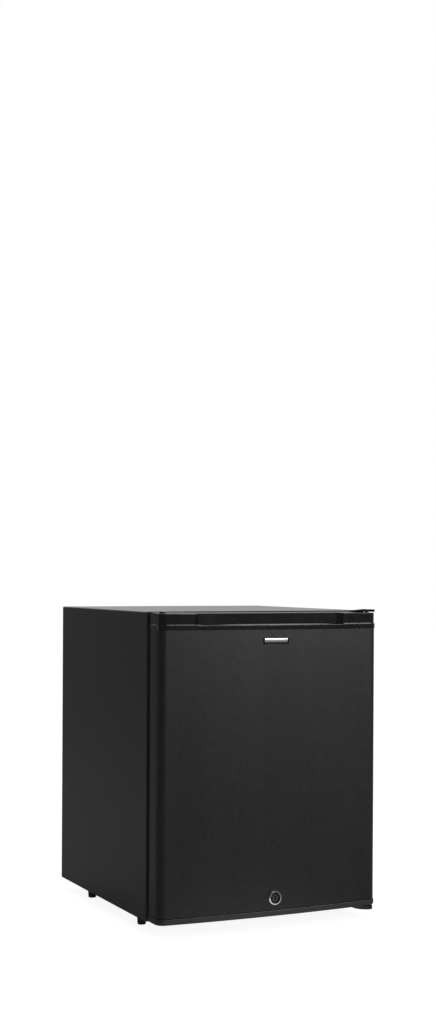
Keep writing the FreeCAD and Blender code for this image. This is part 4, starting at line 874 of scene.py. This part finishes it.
# The dial: radius, distance behind its face and depth of its flutes, from the shaft by the skirt to the face
KNOB = np.array([(3, 14.4, 0), (3, 8, 0), (11, 7.99, 0), (11, 6.2, 0), (10.6, 5.8, 0), (9.2, 5.5, 0),
                 (8.9, 5.1, 0.7), (8.6, 1.6, 0.7), (8.2, 0.9, 0.6), (7.4, 0.5, 0), (6.4, 0.4, 0),
                 (3, 0.35, 0)]) * MM
KNOB_FLUTES, KNOB_COUNT = 20, 160


class FRIDGE_OT_controls(Operator):
    """The dial, the ribbed lens and their housing"""
    bl_idname = "fridge.controls"
    bl_label = "Controls"

    def execute(self, context):
        self.dial()
        self.lens()
        softened("control_housing_moulding", "control_housing", "moulded_polystyrene", 0.7 * MM)
        return {"FINISHED"}

    def dial(self):
        """Fluted circles stacked along Y, and a raised pointer on the face."""
        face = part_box("thermostat_dial")[0].y
        x, z = middle("thermostat_dial", "xz")
        radii, steps, press = KNOB.T
        knob = stacked(circles(radii, (x, z), KNOB_COUNT, KNOB_FLUTES, press), face + steps, "Y")
        half, thick, start, end, corner, edge = (v * MM for v in (0.8, 1.2, 1.5, 7.6, 0.6, 0.3))
        pointer = slab((x - half, face, z + start), (x + half, face + thick, z + end), corner, edge, "Y")
        piece("thermostat_knob", [knob, pointer], "thermostat_dial")

    def lens(self):
        """A flat section whose lower side is a cosine wave, carried along X."""
        low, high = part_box("lamp_lens")
        rib_depth, rib_pitch, rib_count = 0.5 * MM, 4 * MM, 113
        across = np.linspace(low.y, high.y, rib_count)
        ribs = low.z + rib_depth * (1 - np.cos((across - low.y) / rib_pitch * 2 * math.pi)) / 2
        section = np.column_stack([join([across, [high.y, low.y]]), join([ribs, [high.z, high.z]])])
        piece("lamp_lens_ribbed", [carried(section, low.x, high.x, "X")], "lamp_lens")


# The gland: radius, distance from its foot and depth of its flats, over the nut, the barrel and into the bore
GLAND = np.array([(8.4, 0, 0.8), (9, 0.6, 1), (9, 6.4, 1), (8.4, 7, 0.8), (8.2, 7.2, 0), (8.2, 13, 0),
                  (7.8, 15.4, 0), (6.9, 17.2, 0), (5.6, 18, 0), (5, 18, 0), (4.6, 17.6, 0),
                  (4.6, 10, 0)]) * MM
GLAND_FLATS = 6
# A band round the jacket and a weld round the vessel: places along them in millimetres, and shares of height
BAND = ((0, 0), (0.4, 1), (8, 1), (8.4, 0))
BEAD = ((0, 0), (0.8, 1), (2.2, 1), (3, 0))
# Where the jacket's bands start, as shares of its height
BAND_PLACES = (0.1, 0.48, 0.86)


def raised(profile, start, low, high):
    """A band's or bead's places along an axis, and its radii between a low and a high one."""
    along, share = np.array(profile).T
    return start + along * MM, np.where(share > 0, high, low)


class FRIDGE_OT_cooling_unit(Operator):
    """Round pieces and boxes on the back"""
    bl_idname = "fridge.cooling_unit"
    bl_label = "Cooling unit"

    def execute(self, context):
        self.jacket()
        self.vessel()
        self.boxes()
        self.gland()
        return {"FINISHED"}

    def jacket(self):
        """Circles stacked upwards, with rounded ends and raised bands."""
        low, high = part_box("boiler_jacket")
        sine, fall = quarter(6)
        wide, edge, band_height = (high.x - low.x) / 2, 2 * MM, 0.8 * MM
        body = wide - band_height
        bands = [raised(BAND, low.z + place * (high.z - low.z), body, wide) for place in BAND_PLACES]
        places, swells = (join(values) for values in zip(*bands))
        radii = join([body - edge * (1 - sine), swells, body - edge * fall])
        levels = join([low.z + edge * fall, places, high.z - edge * (1 - sine)])
        sleeve = stacked(circles(radii, middle("boiler_jacket", "xy"), FINE_COUNT), levels)
        piece("boiler_jacket_sleeve", [sleeve], "boiler_jacket")

    def vessel(self):
        """Circles stacked along X, with domed ends and two weld beads."""
        low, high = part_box("absorber_vessel")
        sine, fall = quarter(12)
        wide, dome, bead_height, tip = (high.y - low.y) / 2, 14 * MM, 0.6 * MM, 0.02
        left_weld, right_weld = low.x + dome + 4 * MM, high.x - dome - 7 * MM
        body = wide - bead_height
        welds = [raised(BEAD, start, body, wide) for start in (left_weld, right_weld)]
        places, swells = (join(values) for values in zip(*welds))
        end = body * np.maximum(sine, tip)
        radii = join([end, swells, end[::-1]])
        levels = join([low.x + dome * fall, places, high.x - dome * fall[::-1]])
        vessel = stacked(circles(radii, middle("absorber_vessel", "yz"), FINE_COUNT), levels, "X")
        piece("absorber_vessel_welded", [vessel], "absorber_vessel")

    def boxes(self):
        """The drip dish, and the control box with its lid."""
        wall, dish_corner, floor_edge = 1.5 * MM, 6 * MM, 3 * MM
        dish = tray(*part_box("drip_dish"), wall, dish_corner, floor_edge)
        piece("drip_dish_tray", [dish], "drip_dish")
        box_corner, box_edge, lid_edge = 3 * MM, 0.6 * MM, 0.9 * MM
        for node, name, edge in (("control_box", "control_box_moulding", box_edge),
                                 ("control_box_cover", "control_box_lid", lid_edge)):
            piece(name, [slab(*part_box(node), box_corner, edge, "Y")], node)

    def gland(self):
        """Circles stacked along Y, pressed in to flats round the nut."""
        radii, steps, press = GLAND.T
        plans = circles(radii, middle("cable_gland", "xz"), FINE_COUNT, GLAND_FLATS, press)
        nut = stacked(plans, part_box("cable_gland")[0].y + steps, "Y")
        piece("cable_gland_nut", [nut], "cable_gland")


# Solids that stay as they are

class FRIDGE_OT_finishes(Operator):
    """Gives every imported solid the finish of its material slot"""
    bl_idname = "fridge.finishes"
    bl_label = "Finishes"

    def execute(self, context):
        for node, slot in SLOTS.items():
            mesh = frame["nodes"][node].data
            mesh.materials.clear()
            mesh.materials.append(finish(NODE_FINISH.get(node, SLOT_FINISH[slot])))
        return {"FINISHED"}


# Stage

# The camera as fitted to the photograph: its place, its turns in radians, its lens in millimetres, its shifts
CAMERA_PLACE = (-1150.4 * MM, -2428.5 * MM, 579.55 * MM)
CAMERA_YAW = 0.44270
CAMERA_ROLL = 0.00515
CAMERA_LENS = 53.586
CAMERA_SHIFT = (0.0024, 0.0609)
# Half the floor's side, its distance below the feet and its count of points along a side
FLOOR_REACH, FLOOR_DROP, FLOOR_COUNT = 12.0, 0.0005, 9
# The floor's second shade, and how it looks to the camera: its own glow and what it takes from the lamps
FLOOR_MOTTLE, FLOOR_GLOW, FLOOR_SHADE = "989898", 0.9, "7c7c7c"
# Painted glow that only reflections see: a patch of the floor in front of the door glows, with its middle,
# its radius, its rim and its share
PAINTED_GLOW_SPOT = (0.0, -0.3, 0.0)
SPOT_RADIUS, SPOT_RIM, SPOT_SHARE = 0.08, 0.26, 0.9
# Where reflections find the white backdrop: its direction, its rim's and core's cosines, the level beside it
BACKDROP_WAY = (0.553, 0.755, 0.352)
BACKDROP_RIM, BACKDROP_CORE, BACKDROP_BESIDE = 0.55, 0.85, 0.12
# Each lamp's place, the point that it faces, and its width and height in metres
LAMPS = {
    "key_lamp": ((1.25, -2.2, 1.1), (0, 0, 0.26), (1.8, 0.7)),
    "sheen_lamp": ((1.25, -2.2, 1.3), (0, 0, 0.26), (1.8, 0.6)),
    "side_lamp": ((-2.52, 0.65, 0.4), (0, 0, 0.4), (0.6, 1.2)),
    "top_lamp": ((0, 0.3, 2.6), (0, 0, 0.26), (2.0, 2.0)),
}


class FRIDGE_OT_stage(Operator):
    """The pale floor, the white surroundings, four soft lamps and the camera"""
    bl_idname = "fridge.stage"
    bl_label = "Stage"

    def execute(self, context):
        stage = context.scene.fridge.stage
        self.floor(stage)
        self.surroundings(context.scene, stage)
        self.lamp("key_lamp", stage.key_power).visible_glossy = False
        sheen = self.lamp("sheen_lamp", stage.sheen_power)
        sheen.visible_diffuse = False
        sheen.light_linking.receiver_collection = bpy.data.collections.new(DOOR_PIECES)
        self.lamp("side_lamp", stage.side_power)
        self.lamp("top_lamp", stage.top_power)
        camera = bpy.data.cameras.new("photo_camera")
        camera.lens = CAMERA_LENS
        camera.shift_x, camera.shift_y = CAMERA_SHIFT
        made = show("photo_camera", camera)
        turn = Matrix.Rotation(-CAMERA_YAW, 4, "Z") @ Matrix.Rotation(math.pi / 2, 4, "X")
        made.matrix_world = Matrix.Translation(CAMERA_PLACE) @ turn @ Matrix.Rotation(CAMERA_ROLL, 4, "Z")
        context.scene.camera = made
        context.scene.view_settings.view_transform = "Standard"
        return {"FINISHED"}

    def lamp(self, name, power):
        """One soft rectangle that faces its point."""
        place, aim, size = LAMPS[name]
        data = bpy.data.lights.new(name, "AREA")
        data.shape = "RECTANGLE"
        data.size, data.size_y = size
        data.energy = power
        made = show(name, data)
        made.location = place
        away = Vector(place) - Vector(aim)
        made.rotation_euler = away.to_track_quat("Z", "Y").to_euler()
        return made

    def floor(self, stage):
        """A flat square, slightly lit of its own for the camera so that it joins the white round it."""
        mesh = bpy.data.meshes.new("floor")
        reach = np.linspace(-FLOOR_REACH, FLOOR_REACH, FLOOR_COUNT)
        x, y = (a.ravel() for a in np.meshgrid(reach, reach, indexing="ij"))
        points = np.column_stack([x, y, np.full_like(x, -FLOOR_DROP)])
        faces = grid_faces(FLOOR_COUNT, FLOOR_COUNT, False, False)
        mesh.from_pydata(points.tolist(), [], [face[::-1] for face in faces])
        material = bpy.data.materials.new("matt_paper_floor")
        tree = cleared(material)
        path = add(tree, "ShaderNodeLightPath").outputs
        clear = add(tree, "ShaderNodeMath", {0: path["Is Camera Ray"], 1: path["Is Transmission Ray"]},
                    operation="MAXIMUM")
        place = add(tree, "ShaderNodeTexCoord").outputs["Object"]
        # Painted glow: reflections see the floor glow round a spot in front of the door, fading out over its
        # rim
        away = add(tree, "ShaderNodeVectorMath", {0: place, 1: PAINTED_GLOW_SPOT}, operation="DISTANCE")
        share = add(tree, "ShaderNodeMapRange", {"Value": away, "From Min": SPOT_RADIUS, "From Max": SPOT_RIM,
                                                 "To Min": SPOT_SHARE, "To Max": 0.0})
        glow_share = add(tree, "ShaderNodeMath", {0: path["Is Glossy Ray"], 1: share, 2: clear},
                   operation="MULTIPLY_ADD")
        mottle = add(tree, "ShaderNodeTexNoise", {"Vector": place, "Scale": 2.0})
        tone = add(tree, "ShaderNodeMix", {0: mottle, 6: stage.floor_colour, 7: linear(FLOOR_MOTTLE)},
                   data_type="RGBA")
        paper = add(tree, "ShaderNodeBsdfDiffuse", {"Color": tone})
        glow = add(tree, "ShaderNodeEmission", {"Color": linear("ffffff"), "Strength": FLOOR_GLOW})
        dim = add(tree, "ShaderNodeBsdfDiffuse", {"Color": linear(FLOOR_SHADE)})
        shown = add(tree, "ShaderNodeAddShader", {0: glow, 1: dim})
        mixed = add(tree, "ShaderNodeMixShader", {"Fac": glow_share, 1: paper, 2: shown})
        add(tree, "ShaderNodeOutputMaterial", {"Surface": mixed})
        mesh.materials.append(material)
        show("floor", mesh)

    def surroundings(self, scene, stage):
        """White for the camera, a white backdrop in a dim room for mirrors, a plain level for the rest."""
        scene.world = bpy.data.worlds.new("white_studio")
        tree = cleared(scene.world)
        path = add(tree, "ShaderNodeLightPath").outputs
        mirrored = add(tree, "ShaderNodeMath", {0: path["Is Glossy Ray"], 1: path["Is Transmission Ray"]},
                       operation="MAXIMUM")
        way = add(tree, "ShaderNodeTexCoord").outputs["Generated"]
        facing = add(tree, "ShaderNodeVectorMath", {0: way, 1: BACKDROP_WAY}, operation="DOT_PRODUCT")
        sides = add(tree, "ShaderNodeMapRange", {"Value": facing, "From Min": BACKDROP_RIM, "To Max": 1.0,
                                                 "From Max": BACKDROP_CORE, "To Min": BACKDROP_BESIDE})
        rest = add(tree, "ShaderNodeMix", {"Factor": mirrored, "A": stage.room_light, "B": sides})
        level = add(tree, "ShaderNodeMix", {"Factor": path["Is Camera Ray"], "A": rest, "B": 1.0})
        light = add(tree, "ShaderNodeBackground", {"Color": linear("ffffff"), "Strength": level})
        add(tree, "ShaderNodeOutputWorld", {"Surface": light})


# In the order in which they run
OPERATORS = (FRIDGE_OT_stage, FRIDGE_OT_finishes, FRIDGE_OT_casing, FRIDGE_OT_hinges, FRIDGE_OT_feet,
             FRIDGE_OT_door_panel, FRIDGE_OT_door_caps, FRIDGE_OT_badge, FRIDGE_OT_lock, FRIDGE_OT_gasket,
             FRIDGE_OT_door_back, FRIDGE_OT_racks, FRIDGE_OT_controls, FRIDGE_OT_cooling_unit)


class FRIDGE_PT_pieces(Panel):
    """The fridge's pieces, in the order in which they are made"""
    bl_label = "Minibar fridge"
    bl_idname = "FRIDGE_PT_pieces"
    bl_space_type = "VIEW_3D"
    bl_region_type = "UI"
    bl_category = "Fridge"

    def draw(self, context):
        fridge = context.scene.fridge
        for settings in (fridge.cabinet, fridge.door, fridge.colours, fridge.stage):
            box = self.layout.box()
            for name in settings.__annotations__:
                box.prop(settings, name)
        for operator in OPERATORS:
            self.layout.operator(operator.bl_idname)


CLASSES = (CabinetSettings, DoorSettings, ColourSettings, StageSettings, FridgeSettings, *OPERATORS,
           FRIDGE_PT_pieces)


def register():
    for kind in CLASSES:
        bpy.utils.register_class(kind)
    bpy.types.Scene.fridge = PointerProperty(type=FridgeSettings, name="Fridge",
                                             description="Settings of the fridge")


def unregister():
    del bpy.types.Scene.fridge
    for kind in reversed(CLASSES):
        bpy.utils.unregister_class(kind)


def main():
    register()
    for operator in OPERATORS:
        group, name = operator.bl_idname.split(".")
        getattr(getattr(bpy.ops, group), name)()


if __name__ == "__main__":
    main()
